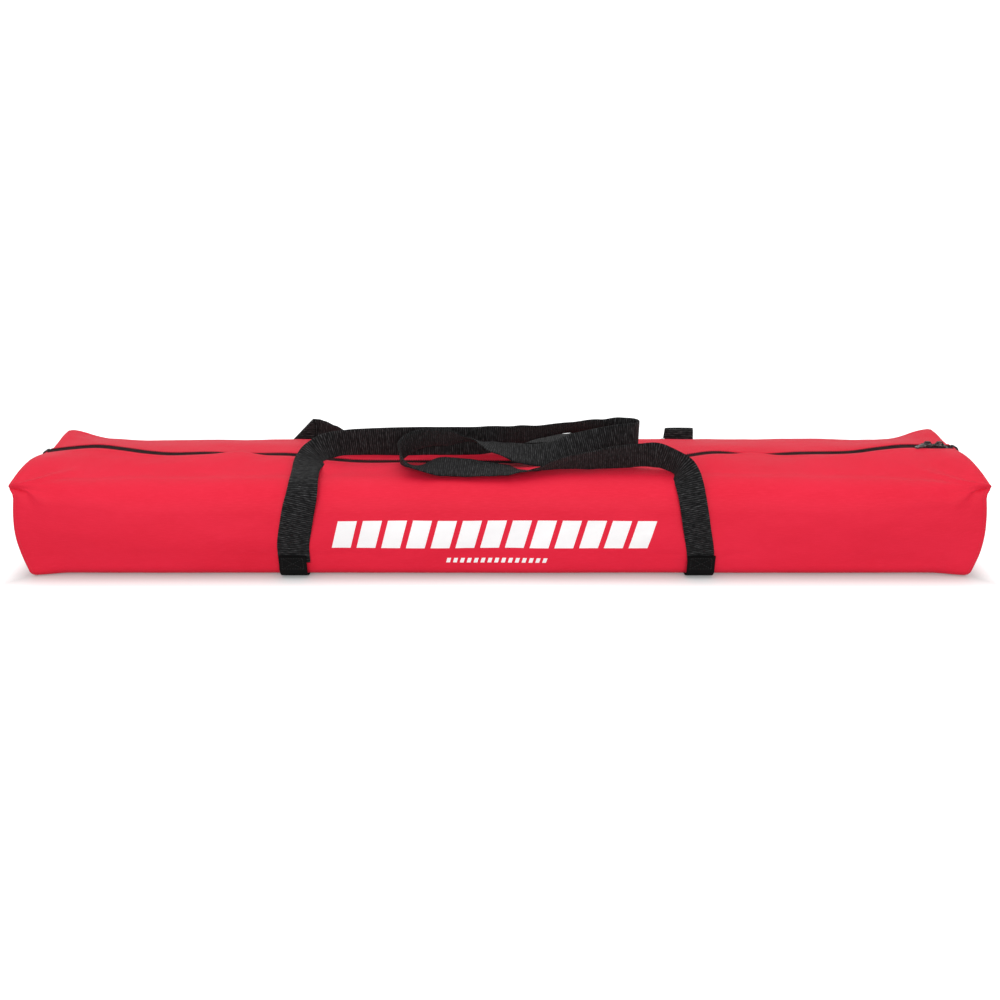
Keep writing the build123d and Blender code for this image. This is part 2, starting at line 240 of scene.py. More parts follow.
def startMaterial(name, roughness=0.5, metallic=0.0, **constants):
    # an underscore in a constant's name stands for a space in the socket's
    material = bpy.data.materials.new(name)
    material.use_nodes = True
    tree = Tree(material.node_tree)
    tree.nodes.clear()
    shader = tree.node("ShaderNodeBsdfPrincipled", {"Roughness": roughness, "Metallic": metallic})
    tree.node("ShaderNodeOutputMaterial", {"Surface": shader.outputs[0]})
    for key, value in constants.items():
        shader.inputs[key.replace("_", " ")].default_value = value
    return material, tree, shader


def addBump(tree, shader, height, strength, distance, under=None):
    bump = tree.node("ShaderNodeBump", {"Strength": strength, "Distance": distance, "Height": height})
    if under is not None:
        tree.feed(under, bump.inputs["Normal"])
    tree.feed(bump.outputs[0], shader.inputs["Normal"])
    return bump.outputs[0]


def useGroup(tree, group, vector, **values):
    made = tree.node("ShaderNodeGroup")
    made.node_tree = group
    tree.feed(vector, made.inputs["Vector"])
    for key, value in values.items():
        made.inputs[key.replace("_", " ")].default_value = value
    return made


# light is the lighter red of the slubs, and also the painted highlight on the thread crowns
clothFinish = {
    "red": (0.80, 0.012, 0.045, 1), "deep": (0.71, 0.006, 0.029, 1), "light": (0.89, 0.030, 0.074, 1),
    "threads": 1250.0, "roughness": 0.6, "sheen": 0.10,
}


def clothMaterial(name="redPolyester"):
    material, tree, shader = startMaterial(
        name, clothFinish["roughness"], Sheen_Weight=clothFinish["sheen"], Sheen_Roughness=0.35,
        Sheen_Tint=(1.0, 0.62, 0.68, 1), Specular_IOR_Level=0.22)
    place = tree.node("ShaderNodeTexCoord")
    broad = tree.noise(tree.stretch(place.outputs["Object"], (5.0, 9.0, 14.0)), 1.0, 4.0, 0.6)
    slub = tree.noise(tree.stretch(place.outputs["UV"], (90.0, 900.0, 1.0)), 1.0, 2.0, 0.6)
    weave = useGroup(tree, weaveGroup, place.outputs["UV"],
                     Across_per_m=clothFinish["threads"], Along_per_m=clothFinish["threads"], Uneven=0.4)
    color = tree.mixColor(tree.ramp(broad, 0.3, 0.75), clothFinish["deep"], clothFinish["red"])
    # The slub noise lightens threads at random, their own tone; the weave's crown mask lightens the tops of
    # the threads, a painted highlight on the thread crowns.
    for amount in (tree.math("MULTIPLY", tree.ramp(slub, 0.45, 0.8), 0.35),
                   tree.math("MULTIPLY", weave.outputs["Crown"], 0.3)):
        color = tree.mixColor(amount, color, clothFinish["light"])
    tree.feed(color, shader.inputs["Base Color"])
    rough = tree.math("MULTIPLY_ADD", slub, 0.12, clothFinish["roughness"] - 0.06)
    tree.feed(rough, shader.inputs["Roughness"])
    dents = tree.noise(tree.stretch(place.outputs["Object"], (40.0, 40.0, 55.0)), 1.0, 4.0, 0.55)
    soft = addBump(tree, shader, dents, 0.35, 0.0012)
    addBump(tree, shader, weave.outputs["Height"], 0.35, 0.00018, soft)
    return material


webbingFinish = {"black": (0.0018, 0.0018, 0.002, 1), "lit": (0.15, 0.15, 0.155, 1), "roughness": 0.62}


def webbingMaterial(name="ribbedWebbing", ribs=430.0, lit=1.0, depth=0.0007):
    material, tree, shader = startMaterial(
        name, webbingFinish["roughness"], Sheen_Weight=0.05 * lit, Sheen_Roughness=0.5,
        Specular_IOR_Level=0.12)
    place = tree.node("ShaderNodeTexCoord")
    rib = useGroup(tree, ribGroup, place.outputs["UV"], Ribs_per_m=ribs, Rows_per_m=1100.0, Uneven=1.2)
    crown = tree.math("MULTIPLY", rib.outputs["Crown"], lit)
    color = tree.mixColor(crown, webbingFinish["black"], webbingFinish["lit"])
    tree.feed(color, shader.inputs["Base Color"])
    tree.feed(tree.math("MULTIPLY_ADD", rib.outputs["Crown"], -0.15, 0.68), shader.inputs["Roughness"])
    addBump(tree, shader, rib.outputs["Height"], 0.8, depth)
    return material


def plainCloth(name, color, light, threads, sheen=0.2, roughness=0.7, gloss=0.4):
    material, tree, shader = startMaterial(name, roughness, Specular_IOR_Level=gloss, Sheen_Weight=sheen)
    place = tree.node("ShaderNodeTexCoord")
    weave = useGroup(tree, weaveGroup, place.outputs["UV"],
                     Across_per_m=threads, Along_per_m=threads, Uneven=0.3)
    # The lighter colour on the weave's crowns is a painted highlight on the tops of the threads.
    mixed = tree.mixColor(tree.math("MULTIPLY", weave.outputs["Crown"], 0.6), color, light)
    tree.feed(mixed, shader.inputs["Base Color"])
    addBump(tree, shader, weave.outputs["Height"], 0.6, 0.0003)
    return material


def metalMaterial(name, paint, bare, worn=0.5, scale=350.0, metallic=0.0, roughness=0.38):
    material, tree, shader = startMaterial(name, roughness, metallic)
    place = tree.node("ShaderNodeTexCoord")
    wear = useGroup(tree, wearGroup, place.outputs["Object"], Scale=scale, Amount=worn)
    tree.feed(tree.mixColor(wear.outputs["Mask"], paint, bare), shader.inputs["Base Color"])
    tree.feed(tree.math("MAXIMUM", wear.outputs["Mask"], metallic), shader.inputs["Metallic"])
    tree.feed(tree.math("MULTIPLY_ADD", wear.outputs["Mask"], 0.12, roughness), shader.inputs["Roughness"])
    addBump(tree, shader, tree.noise(place.outputs["Object"], 900.0, 3.0, 0.6), 0.15, 0.0002)
    return material


def mouldedMaterial(name, color, light, roughness=0.5, grain=1400.0, gloss=0.5):
    material, tree, shader = startMaterial(name, roughness, Specular_IOR_Level=gloss)
    place = tree.node("ShaderNodeTexCoord")
    fine = tree.noise(place.outputs["Object"], grain, 2.0, 0.5)
    broad = tree.noise(place.outputs["Object"], 45.0, 4.0, 0.6)
    tree.feed(tree.mixColor(tree.ramp(broad, 0.3, 0.8), color, light), shader.inputs["Base Color"])
    tree.feed(tree.math("MULTIPLY_ADD", fine, 0.15, roughness - 0.07), shader.inputs["Roughness"])
    addBump(tree, shader, fine, 0.25, 0.00015)
    return material


redCloth = clothMaterial()
webbing = webbingMaterial()
smoothWebbing = webbingMaterial("smoothWebbing", 900.0, 0.03, 0.00015)
# In each plainCloth the second colour is the painted highlight on its thread crowns.
zipTape = plainCloth("zipTape", (0.016, 0.006, 0.007, 1), (0.060, 0.026, 0.027, 1), 900.0, 0.05, 0.75, 0.12)
zipNylon = mouldedMaterial("zipNylon", (0.020, 0.008, 0.009, 1), (0.060, 0.024, 0.026, 1), 0.45, 1400.0, 0.15)
zipMetal = metalMaterial("zipMetal", (0.012, 0.012, 0.013, 1), (0.32, 0.31, 0.30, 1), 0.42, 420.0)
pullMetal = metalMaterial("pullMetal", (0.008, 0.008, 0.008, 1), (0.40, 0.39, 0.38, 1), 0.50, 300.0)
thread = plainCloth("redThread", (0.62, 0.012, 0.035, 1), (0.8, 0.05, 0.09, 1), 3000.0)
blackThread = plainCloth("blackThread", (0.006, 0.006, 0.006, 1), (0.018, 0.018, 0.018, 1), 3000.0, 0.02)
printInk = mouldedMaterial("whiteInk", (0.95, 0.94, 0.95, 1), (0.99, 0.99, 0.99, 1), 0.55, 1200.0)
tubePaint = metalMaterial("tubePaint", (0.02, 0.02, 0.022, 1), (0.45, 0.45, 0.46, 1), 0.27, 60.0)
springSteel = metalMaterial("springSteel", (0.55, 0.55, 0.57, 1), (0.7, 0.7, 0.72, 1), 0.5, 500.0, 1.0, 0.25)
blackNylon = mouldedMaterial("blackNylon", (0.018, 0.018, 0.02, 1), (0.05, 0.05, 0.052, 1), 0.5)
blackRubber = mouldedMaterial("blackRubber", (0.01, 0.01, 0.01, 1), (0.035, 0.035, 0.035, 1), 0.75, 900.0)
netCord = plainCloth("netCord", (0.012, 0.012, 0.014, 1), (0.06, 0.06, 0.065, 1), 320.0)
bandCloth = plainCloth("whiteBand", (0.78, 0.77, 0.73, 1), (0.92, 0.91, 0.88, 1), 800.0, 0.1, 0.45)
print("finishes made:", len(bpy.data.materials))

# The bag's cloth: one closed section for every place along X, with the ears at its ends
bag = {
    "halfLength": boxMm("end_panel_right")[1].x, "halfDepth": boxMm("body_panel")[1].y,
    "height": boxMm("top_flap_front")[1].z,
    "shoulderFront": 37.0, "shoulderRear": 9.0, "earRadius": 6.5, "baseRadius": 14.0,
    "earLength": 46.0, "mouthHalf": 5.5, "mouthEnd": 7.2, "lipRadius": 1.1,
    # the zip's seam: a place along X, and its height on the middle plane
    "seam": [
        (-552, 127), (-520, 131), (-487, 133), (-452, 129), (-425, 125), (-395, 122.5), (-350, 123.5),
        (-290, 122), (-250, 121.5), (-215, 117), (-170, 113), (-115, 112.5), (0, 112), (115, 113),
        (210, 118), (255, 124), (308, 121), (360, 123.5), (420, 124.6), (452, 129), (487, 133),
        (520, 132.5), (552, 129),
    ],
    "foldLeft": -313.0, "foldRight": 305.0, "foldWidth": 24.0,
    "strapBase": 234.0, "strapTop": 215.0, "webHalf": 16.0, "wall": 0.9,
    "endCut": (0.172, 0.122),
}
lipShare, flapShare, shoulderShare, faceShare, cornerShare = 0.04, 0.30, 0.45, 0.78, 0.86


def zipPlace(x):
    # the seam waves a little, and rises at both ends
    a = abs(x)
    y = 6.0 * smooth(220, 340, a) + 10.0 * smooth(420, 505, a)
    y += 1.8 * math.sin(x / 47 + 0.6) * (1 - smooth(470, 520, a))
    seam = bag["seam"]
    i = 1
    while i < len(seam) - 2 and x > seam[i][0]:
        i += 1
    (x0, z0), (x1, z1) = seam[i - 1], seam[i]
    rise0 = (z1 - seam[max(0, i - 2)][1]) / (x1 - seam[max(0, i - 2)][0])
    rise1 = (seam[i + 1][1] - z0) / (seam[i + 1][0] - x0)
    width = x1 - x0
    t = min(1.0, max(0.0, (x - x0) / width))
    z = z0 * (1 + 2 * t) * (1 - t) ** 2 + z1 * t * t * (3 - 2 * t)
    z += width * (rise0 * t * (1 - t) ** 2 - rise1 * t * t * (1 - t))
    return y, z - 0.4 * y


def foldShare(x):
    # 1 in the middle of either fold of the front flap over the zip
    return bell(x, bag["foldLeft"], bag["foldWidth"]) + bell(x, bag["foldRight"], bag["foldWidth"])


def sectionShape(x, side):
    # the sizes of the plain section at a place along X; side is -1 in front and 1 behind
    a = abs(x)
    ear = smooth(bag["halfLength"] - bag["earLength"], bag["halfLength"] - 3, a)
    zipY, zipZ = zipPlace(x)
    fold = foldShare(x)
    if side < 0:
        top = bag["height"] - 5.0 + 1.5 * math.sin(x / 130 + 1.0) * (1 - ear) + 1.5 * ear
        radius = lerp(lerp(bag["shoulderFront"], 26.0, smooth(400, 500, a)), bag["earRadius"], ear)
        lip = 7.5 * fold
        lipRise = 2.6 * fold
        depth = bag["halfDepth"] + 2.0 * ear
    else:
        top = bag["height"] - 1.5 - 2.5 * bell(a, 455, 50) + 11.0 * smooth(495, 551, a)
        radius = lerp(bag["shoulderRear"], bag["earRadius"], ear)
        lip = -2.0 * fold
        lipRise = -0.5 * fold
        depth = bag["halfDepth"]
    mouth = lerp(bag["mouthHalf"], bag["mouthEnd"], smooth(455, 500, a)) - 0.9 * bell(a, 0, 260)
    return {
        "mouth": mouth - lip, "edge": zipZ + lipRise, "zipY": zipY, "top": top, "radius": radius,
        "depth": depth, "belly": 2.2 * (1 - 0.4 * ear), "ear": ear,
        "corner": lerp(bag["baseRadius"], 9.0, ear),
    }


def baseLift(x):
    # the cloth is pressed up where a strap passes under the base
    near = abs(abs(x) - bag["strapBase"]) < 60
    return 0.25 + 1.75 * (bell(abs(x), bag["strapBase"], bag["webHalf"] + 6) ** 0.35 if near else 0)


def sectionBase(shape, side, s):
    # the plain section: s runs from 0 at the zip to 1 under the middle of the base
    mouth, edge, top, radius = shape["mouth"], shape["edge"], shape["top"], shape["radius"]
    depth, corner, lipR = shape["depth"], shape["corner"], bag["lipRadius"]
    shift = 0
    if s < lipShare:
        shift = shape["zipY"]
        angle = math.radians(lerp(215, 90, s / lipShare))
        y = mouth + lipR + lipR * math.cos(angle)
        z = edge - lipR + lipR * math.sin(angle)
    elif s < flapShare:
        t = (s - lipShare) / (flapShare - lipShare)
        y = lerp(mouth + lipR, depth - radius, t)
        z = lerp(edge, top, t * t * (3 - 2 * t) * 0.35 + t * 0.65)
        z += lerp(2.0, 6.5 if side < 0 else 0.0, shape["ear"]) * math.sin(math.pi * t)
        shift = shape["zipY"] * (1 - t)
    elif s < shoulderShare:
        angle = (s - flapShare) / (shoulderShare - flapShare) * math.pi / 2
        y = depth - radius + radius * math.sin(angle)
        z = top - radius + radius * math.cos(angle)
    elif s < faceShare:
        t = (s - shoulderShare) / (faceShare - shoulderShare)
        y = depth + shape["belly"] * math.sin(math.pi * t)
        z = lerp(top - radius, corner, t)
    elif s < cornerShare:
        angle = (s - faceShare) / (cornerShare - faceShare) * math.pi / 2
        y = depth - corner + corner * math.cos(angle)
        z = corner - corner * math.sin(angle)
    else:
        t = (s - cornerShare) / (1 - cornerShare)
        y = lerp(depth - corner, 0, t)
        z = 0
    return side * y + shift, z


# Creases from each ear's corner: direction inward along X and down the face, height, width and reach
creases = (
    (0.80, -0.60, 3.0, 5.0, 95.0), (0.97, -0.22, 1.6, 5.0, 80.0), (0.45, 0.89, -2.2, 6.0, 55.0),
    (0.78, 0.62, 1.3, 7.0, 70.0), (0.99, 0.12, -1.3, 6.0, 85.0),
)


def clothLift(x, side, s, shape):
    # how far the cloth stands off the plain section: undulations, ear creases, strap pinches
    a = abs(x)
    ear = bag["halfLength"] - a
    drop = (s - (flapShare + shoulderShare) / 2) * 330.0
    onFlat = smooth(0.0, 0.10, s) * (1 - smooth(0.76, 0.86, s))
    strap = lerp(bag["strapTop"], bag["strapBase"], smooth(flapShare, faceShare, s))
    onFlat *= 1 - 0.8 * bell(a, strap, 30)
    lift = 2.2 * onFlat * noise.noise(Vector((x / 95, s * 4.2, side * 3.1 + 1.7)))
    lift += 0.55 * onFlat * noise.noise(Vector((x / 34, s * 12 + x / 120, side * 5.3)))
    lift += 0.16 * onFlat * noise.noise(Vector((x / 11, s * 34, side * 7.9)))
    for runX, runS, height, width, reach in creases:
        along = ear * runX + drop * runS
        off = abs(ear * runS - drop * runX)
        if 0 < along < reach:
            fade = smooth(0, 10, along) * (1 - smooth(reach * 0.4, reach, along))
            spread = math.exp(-((off / (width * (0.7 + along / reach))) ** 2))
            lift += height * (1.0 if side < 0 else 0.3) * fade * spread
    lift -= 4.5 * bell(ear, 13, 9) * bell(drop, 17, 12)
    if side < 0:
        lift -= 1.6 * bell(a, strap, 21) * smooth(0.18, 0.34, s) * (1 - smooth(0.5, 0.7, s))
        lift -= 0.5 * bell(s, 0.70, 0.012) * smooth(0, 60, 330 - a)
        lift += 1.3 * bell(a, strap + 34, 16) * bell(s, 0.40, 0.09)
        lift += 1.3 * bell(a, strap - 34, 16) * bell(s, 0.40, 0.09)
    else:
        lift += 2.2 * bell(a, 458, 22) * bell(s, 0.22, 0.05) + 1.6 * bell(a, 408, 26) * bell(s, 0.26, 0.05)
        lift -= 1.2 * bell(a, bag["strapBase"], 21) * bell(s, 0.40, 0.1)
    return lift * smooth(0.0, 0.06, s)


def endOffset(y, z):
    # the end seam leans in at the base and the neck, and out at the ears
    rise = 7.5 * math.sin(math.pi * min(1.0, max(0.0, z / 104.0)))
    earOut = 4.5 * smooth(98, 112, z)
    return bag["halfLength"] - (543.5 + rise + earOut + 4.0 * smooth(20, 84, y) * smooth(80, 116, z))


def shellPoint(x, side, s, off=0.0, shrink=0.0):
    shape = sectionShape(x, side)
    y, z = sectionBase(shape, side, s)
    y0, z0 = sectionBase(shape, side, max(0.0, s - 0.004))
    y1, z1 = sectionBase(shape, side, min(1.0, s + 0.004))
    dy, dz = y1 - y0, z1 - z0
    size = math.hypot(dy, dz) or 1.0
    ny, nz = -side * dz / size, side * dy / size
    reach = clothLift(x, side, s, shape) + off - shrink
    y += ny * reach
    z = max(z + nz * reach, baseLift(x) - off)
    pull = smooth(430, bag["halfLength"], abs(x))
    return x - endOffset(y, z) * math.copysign(pull, x), y, z


def bagColumns():
    # places along X, closer together in the ears; the last two columns roll the cloth into the end seam
    half = bag["halfLength"]
    middle = [(x * 6.0, 0.0) for x in range(0, 74)]
    ear = [(444 + t * 3.6, 0.0) for t in range(0, 29)]
    roll = [(half - 2.0, 0.3), (half - 0.6, 1.3), (half - 1.6, 3.0)]
    right = middle + ear + roll
    return [(-x, shrink) for x, shrink in reversed(right) if x > 0] + right


def sectionSteps():
    steps = [lipShare * i / 5 for i in range(5)]
    steps += [lerp(lipShare, flapShare, i / 17) for i in range(17)]
    steps += [lerp(flapShare, shoulderShare, i / 13) for i in range(13)]
    steps += [lerp(shoulderShare, faceShare, i / 19) for i in range(19)]
    steps += [lerp(faceShare, cornerShare, i / 6) for i in range(6)]
    steps += [lerp(cornerShare, 1.0, i / 9) for i in range(10)]
    return steps


def buildBagCloth():
    steps = sectionSteps()
    around = [(-1, s) for s in steps] + [(1, s) for s in reversed(steps[:-1])]
    columns = bagColumns()
    verts, uvs = [], []
    arc = 560.0 * mm
    for x, shrink in columns:
        for index, (side, s) in enumerate(around):
            verts.append(shellPoint(x, side, s, 0.0, shrink))
            uvs.append((x * mm, index / (len(around) - 1) * arc))
    faces = gridFaces(len(columns), len(around))
    piece = addMesh("bag_cloth", verts, faces, redCloth, uvs)
    return thicken(piece, bag["wall"]), around


def buildEndCloth(name, way, around):
    # the end panel starts inside the seam and swells a little in the middle
    rings = 9
    half = bag["halfLength"]
    rim = [Vector(shellPoint(way * (half - 1.6), side, s, 0.0, 3.0)) for side, s in around]
    middle = sum(rim, Vector()) / len(rim)
    middle.z = 58
    verts, uvs = [], []
    for ring in range(rings):
        share = (ring / rings) ** 1.15
        for point in rim:
            p = point.lerp(middle, share)
            swell = 2.6 * smooth(0.0, 0.12, share) + 1.4 * smooth(0.1, 0.9, share)
            crumple = 0.9 * noise.noise(Vector((p.y / 26, p.z / 22, way * 4.0))) * smooth(0.05, 0.4, share)
            verts.append((p.x + way * (swell + crumple), p.y, p.z))
            uvs.append((p.y * mm, p.z * mm))
    verts.append((verts[-1][0] + way * 0.1, middle.y, middle.z))
    uvs.append((middle.y * mm, middle.z * mm))
    count = len(rim)
    faces = gridFaces(rings, count, True)
    last = (rings - 1) * count
    faces += [(last + j, last + (j + 1) % count, len(verts) - 1) for j in range(count)]
    if way > 0:
        faces = [tuple(reversed(f)) for f in faces]
    piece = addMesh(name, verts, faces, redCloth, uvs)
    return thicken(piece, bag["wall"])


bagCloth, aroundSection = buildBagCloth()
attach(bagCloth, "bag")
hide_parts("body_panel", "top_flap_front", "top_flap_rear")
for endName, way in (("left", -1), ("right", 1)):
    endCloth = buildEndCloth(f"end_cloth_{endName}", way, aroundSection)
    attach(endCloth, "bag")
    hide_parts(f"end_panel_{endName}")
print("bag cloth made")

# Webbing: a flat band swept along listed points; each point is a place and a width direction
bandShape = {"width": 36.5, "thickness": 1.6, "step": 3.0, "across": 10}


def tilt(degrees):
    angle = math.radians(degrees)
    return (0, math.cos(angle), math.sin(angle))


def roundSpline(points, step):
    # centripetal spline through the points: places and width directions, evenly enough spaced
    places = [Vector(p[:3]) for p in points]
    wide = [Vector(p[3]) for p in points]
    places = [places[0] * 2 - places[1]] + places + [places[-1] * 2 - places[-2]]
    out = []
    for i in range(1, len(places) - 2):
        p0, p1, p2, p3 = places[i - 1:i + 3]
        t1 = (p1 - p0).length ** 0.5
        t2 = t1 + (p2 - p1).length ** 0.5
        t3 = t2 + (p3 - p2).length ** 0.5
        count = max(1, round((p2 - p1).length / step))
        for j in range(count):
            share = j / count
            t = lerp(t1, t2, share)
            a1 = p0 * ((t1 - t) / t1) + p1 * (t / t1)
            a2 = p1 * ((t2 - t) / (t2 - t1)) + p2 * ((t - t1) / (t2 - t1))
            a3 = p2 * ((t3 - t) / (t3 - t2)) + p3 * ((t - t2) / (t3 - t2))
            b1 = a1 * ((t2 - t) / t2) + a2 * (t / t2)
            b2 = a2 * ((t3 - t) / (t3 - t1)) + a3 * ((t - t1) / (t3 - t1))
            place = b1 * ((t2 - t) / (t2 - t1)) + b2 * ((t - t1) / (t2 - t1))
            out.append((place, wide[i - 1].lerp(wide[i], share * share * (3 - 2 * share))))
    out.append((places[-2], wide[-1]))
    return out


def flatFold(place, arriving, arrivingSide, leaving, leavingSide, gap):
    # a sharp fold between two flat runs at right angles; a section is a place, a width direction,
    # a run direction, a skew and a stretch
    half = bandShape["width"] / 2
    place, arriving, leaving = Vector(place), Vector(arriving), Vector(leaving)
    arrivingSide, leavingSide, gap = Vector(arrivingSide), Vector(leavingSide), Vector(gap)
    sections = []
    for i in range(7):
        share = i / 6
        sections.append((place + gap - arriving * half * (1 - share), arrivingSide, arriving, share, 1.0))
    outward = (arriving - leaving).normalized()
    turn = place + gap / 2 + outward * gap.length / 2
    sections.append((turn, arrivingSide + leavingSide, -gap.normalized(), 0.0, math.sqrt(2)))
    for i in range(7):
        share = 1 - i / 6
        sections.append((place + leaving * half * (1 - share), leavingSide, leaving, share, 1.0))
    return sections


def sweepBand(name, route, material, width=bandShape["width"], thickness=bandShape["thickness"],
              seed=1.0, wobble=0.5, endShare=1.0, fold=(), pinch=None):
    # a flat band along the route, then through the fold's sections; it prints its length
    line = [(place, wide, None, 0.0, 1.0) for place, wide in roundSpline(route, bandShape["step"])]
    line += fold
    across = bandShape["across"]
    outline = []
    for i in range(across + 1):
        u = -1 + 2 * i / across
        outline.append((u * (width / 2 - thickness * 0.28), thickness / 2 * (1 if abs(u) < 0.99 else 0.72)))
    outline = outline + [(width / 2, 0)] + [(u, -v) for u, v in reversed(outline)] + [(-width / 2, 0)]
    verts, uvs = [], []
    length = 0.0
    whole = sum((b[0] - a[0]).length for a, b in zip(line, line[1:]))
    for i, (place, wide, along, skew, stretch) in enumerate(line):
        before = line[max(0, i - 1)][0]
        after = line[min(len(line) - 1, i + 1)][0]
        along = along or (after - before).normalized()
        side = (wide - along * wide.dot(along)).normalized()
        up = along.cross(side)
        if i:
            length += (place - before).length
        bend = wobble * noise.noise(Vector((length / 55, seed, 0.3)))
        cup = wobble * 0.9 * noise.noise(Vector((length / 70, seed + 4, 1.3)))
        share = lerp(1.0, endShare, smooth(0.84, 0.93, length / whole))
        if pinch:
            share *= 1 - pinch["depth"] * bell(length, pinch["middle"], pinch["width"])
        for u, v in outline:
            curl = cup * (1 - 2 * (2 * u / width) ** 2)
            curl += wobble * 0.35 * noise.noise(Vector((length / 14, u / 9, seed)))
            flat = 1 - skew if stretch == 1.0 else 0.0
            shift = side * (u * share * stretch + bend * 0.5 * flat) + along * skew * u
            verts.append(place + shift + up * (v + curl * flat))
            uvs.append((u * mm, (length + skew * u) * mm))
    count = len(outline)
    faces = gridFaces(len(line), count, True)
    faces.append(tuple(range(count)))
    faces.append(tuple(reversed(range(len(verts) - count, len(verts)))))
    piece = addMesh(name, verts, faces, material, uvs)
    piece.data.flip_normals()
    piece.data.update()
    print(name, "runs", round(length), "mm")
    return piece


# Each handle is one band; its pieces bend where they turn over the shoulders
across, down, up = (1, 0, 0), (0, 0, -1), (0, 0, 1)
frontHandle = {
    "route": [
        (-236, -86.2, 20, across), (-235.5, -87, 42, across), (-231, -86.8, 64, across),
        (-226.5, -85.6, 84, across), (-223, -81.5, 98.5, across), (-222, -69, 112, across),
        (-223, -46, 118, (1, 0, -0.05)), (-223, -22, 120.5, (0.95, -0.1, -0.3)),
        (-218, -4, 123.5, (0.78, -0.2, -0.6)), (-206, 8, 126.8, (0.4, -0.1, -0.92)),
        (-188, 15, 129.3, (0.08, 0.1, -0.99)), (-158, 18, 131, (0, 0.12, -1)), (-100, 18, 131.8, down),
        (-60, 18, 131.8, down), (-20, 19, 133, (0, 0.1, -1)), (20, 25, 137.5, (0, 0.55, -0.83)),
        (50, 28, 141, (0, 0.75, -0.66)), (85, 28, 146, (0, 0.8, -0.6)),
        (120, 24, 144.5, (0, 0.5, -0.87)), (145, 19, 143.5, down), (160, 15, 143.5, down),
        (165, 7, 143.5, down), (160, -1, 143, down), (138, -4, 141, tilt(-95)),
        (96, -7, 132.5, tilt(-115)), (58, -11, 125, tilt(-148)), (25, -13, 127, tilt(-158)),
        (-5, -14, 134.7, tilt(-176)), (-35, -8, 142.5, tilt(-205)), (-65, -6, 144.3, tilt(-228)),
        (-92, -8, 143.5, tilt(-234)), (-109, -15, 138, tilt(-240)), (-117, -24, 131, tilt(-240)),
        (-113, -33, 124.5, tilt(-226)), (-98, -41, 120.5, tilt(-194)), (-66, -43, 121.5, tilt(-163)),
        (-40, -44, 120.5, tilt(-165)), (-15, -46, 119.5, tilt(-174)), (6, -47, 118.5, tilt(-180)),
        (24, -47, 117.5, tilt(-195)), (42, -46, 118, tilt(-206)), (62, -43, 121.5, tilt(-222)),
        (84, -41, 124.5, tilt(-232)), (104, -40, 126, tilt(-240)), (130, -38, 129.5, tilt(-248)),
        (160, -39, 133.5, tilt(-248)), (180, -42, 134.5, tilt(-256)),
        (194, -46, 131, (0.25, -0.4, 0.88)), (204, -53, 127, (0.5, -0.6, 0.55)),
        (210, -64, 119.5, (0.8, -0.3, 0.4)), (213, -74, 110, (0.96, -0.1, 0.15)),
        (215.5, -81.5, 98, across), (219, -86, 80, across), (223.5, -87, 58, across),
        (228, -87, 38, across), (231, -86.2, 19, across),
    ],
    "pinch": {"middle": 116.0, "width": 30.0, "depth": 0.12},
    "blendFrom": (0, -0.086, 0.100), "blendTo": (0, -0.070, 0.122),
}
handleBand = sweepBand("front_handle_band", frontHandle["route"], webbing, seed=2.0, endShare=0.85,
                       pinch=frontHandle["pinch"])
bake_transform(handleBand)
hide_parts("front_handle")

rearHandle = {
    "rightLeg": [(232, 86.2, 58, across), (232, 87, 90, across), (231.5, 88, 106, across)],
    "run": [
        (231.5, 88, 106, across), (231, 89.3, 117, across), (231, 91, 122.8, across),
        (231, 93.5, 125.2, across), (231, 94.6, 122.8, across), (230.5, 95, 115, across),
        (228, 95, 103, (0.95, 0, 0.25)), (216, 94.6, 94, (0.6, 0, 0.8)), (196, 94, 90, up),
        (172, 93, 91, up), (152, 90, 99, (0, 0.42, 0.9)), (134, 80, 113, (0, 0.82, 0.57)),
        (112, 70, 120, (0, 1, 0.1)), (85, 62, 121.5, (0, 1, 0)), (20, 60, 121.3, (0, 1, 0)),
        (-52, 60, 121.2, (0, 1, 0)), (-62, 60, 120.8, (0, 1, 0)), (-65, 59.6, 119.7, (0, 1, 0)),
        (-61, 59, 118.7, (0, 1, 0)), (-40, 58, 118.5, (0, 1, 0)), (60, 57, 118.5, (0, 1, 0)),
        (76, 57, 118.3, (0, 1, 0)), (79, 57, 117.3, (0, 1, 0)), (76, 57.4, 116.4, (0, 1, 0)),
        (50, 58, 116.3, (0, 1, 0)), (-140, 60, 117, (0, 1, 0)), (-168, 65, 117.5, (0, 0.87, -0.5)),
        (-188, 74, 117, (0, 0.7, -0.72)), (-208, 83, 117.2, (0, 0.4, -0.92)),
        (-225, 88.5, 119, (0, 0.12, -0.99)), (-233, 90.4, 120, (0, 0, -1)),
    ],
    "peak": {"place": (-256, 88.4, 120.3), "gap": (0, 2.2, 0)},
    "leftLeg": [(-256, 88.4, 102, across), (-254, 87.7, 90, across), (-246, 86.2, 58, across)],
    "blendFrom": (0, 0.087, 0.100), "blendTo": (0, 0.087, 0.115),
}
peak = flatFold(rearHandle["peak"]["place"], (-1, 0, 0), down, down, (-1, 0, 0), rearHandle["peak"]["gap"])
rearRun = sweepBand("rear_handle_band", rearHandle["run"], webbing, seed=5.0, wobble=0.3, fold=peak)
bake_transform(rearRun)
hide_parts("rear_handle")
for side in ("right", "left"):
    leg = sweepBand(f"rear_handle_leg_{side}", rearHandle[side + "Leg"], webbing, seed=7.0, wobble=0.2)
    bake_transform(leg)

baseStrap = {
    "x": {-1: -237.5, 1: 230.5}, "width": 32.0, "frontTop": 29.0, "rearTop": 64.0, "corner": 11.0,
    "proud": 88.6, "under": 0.9,
}


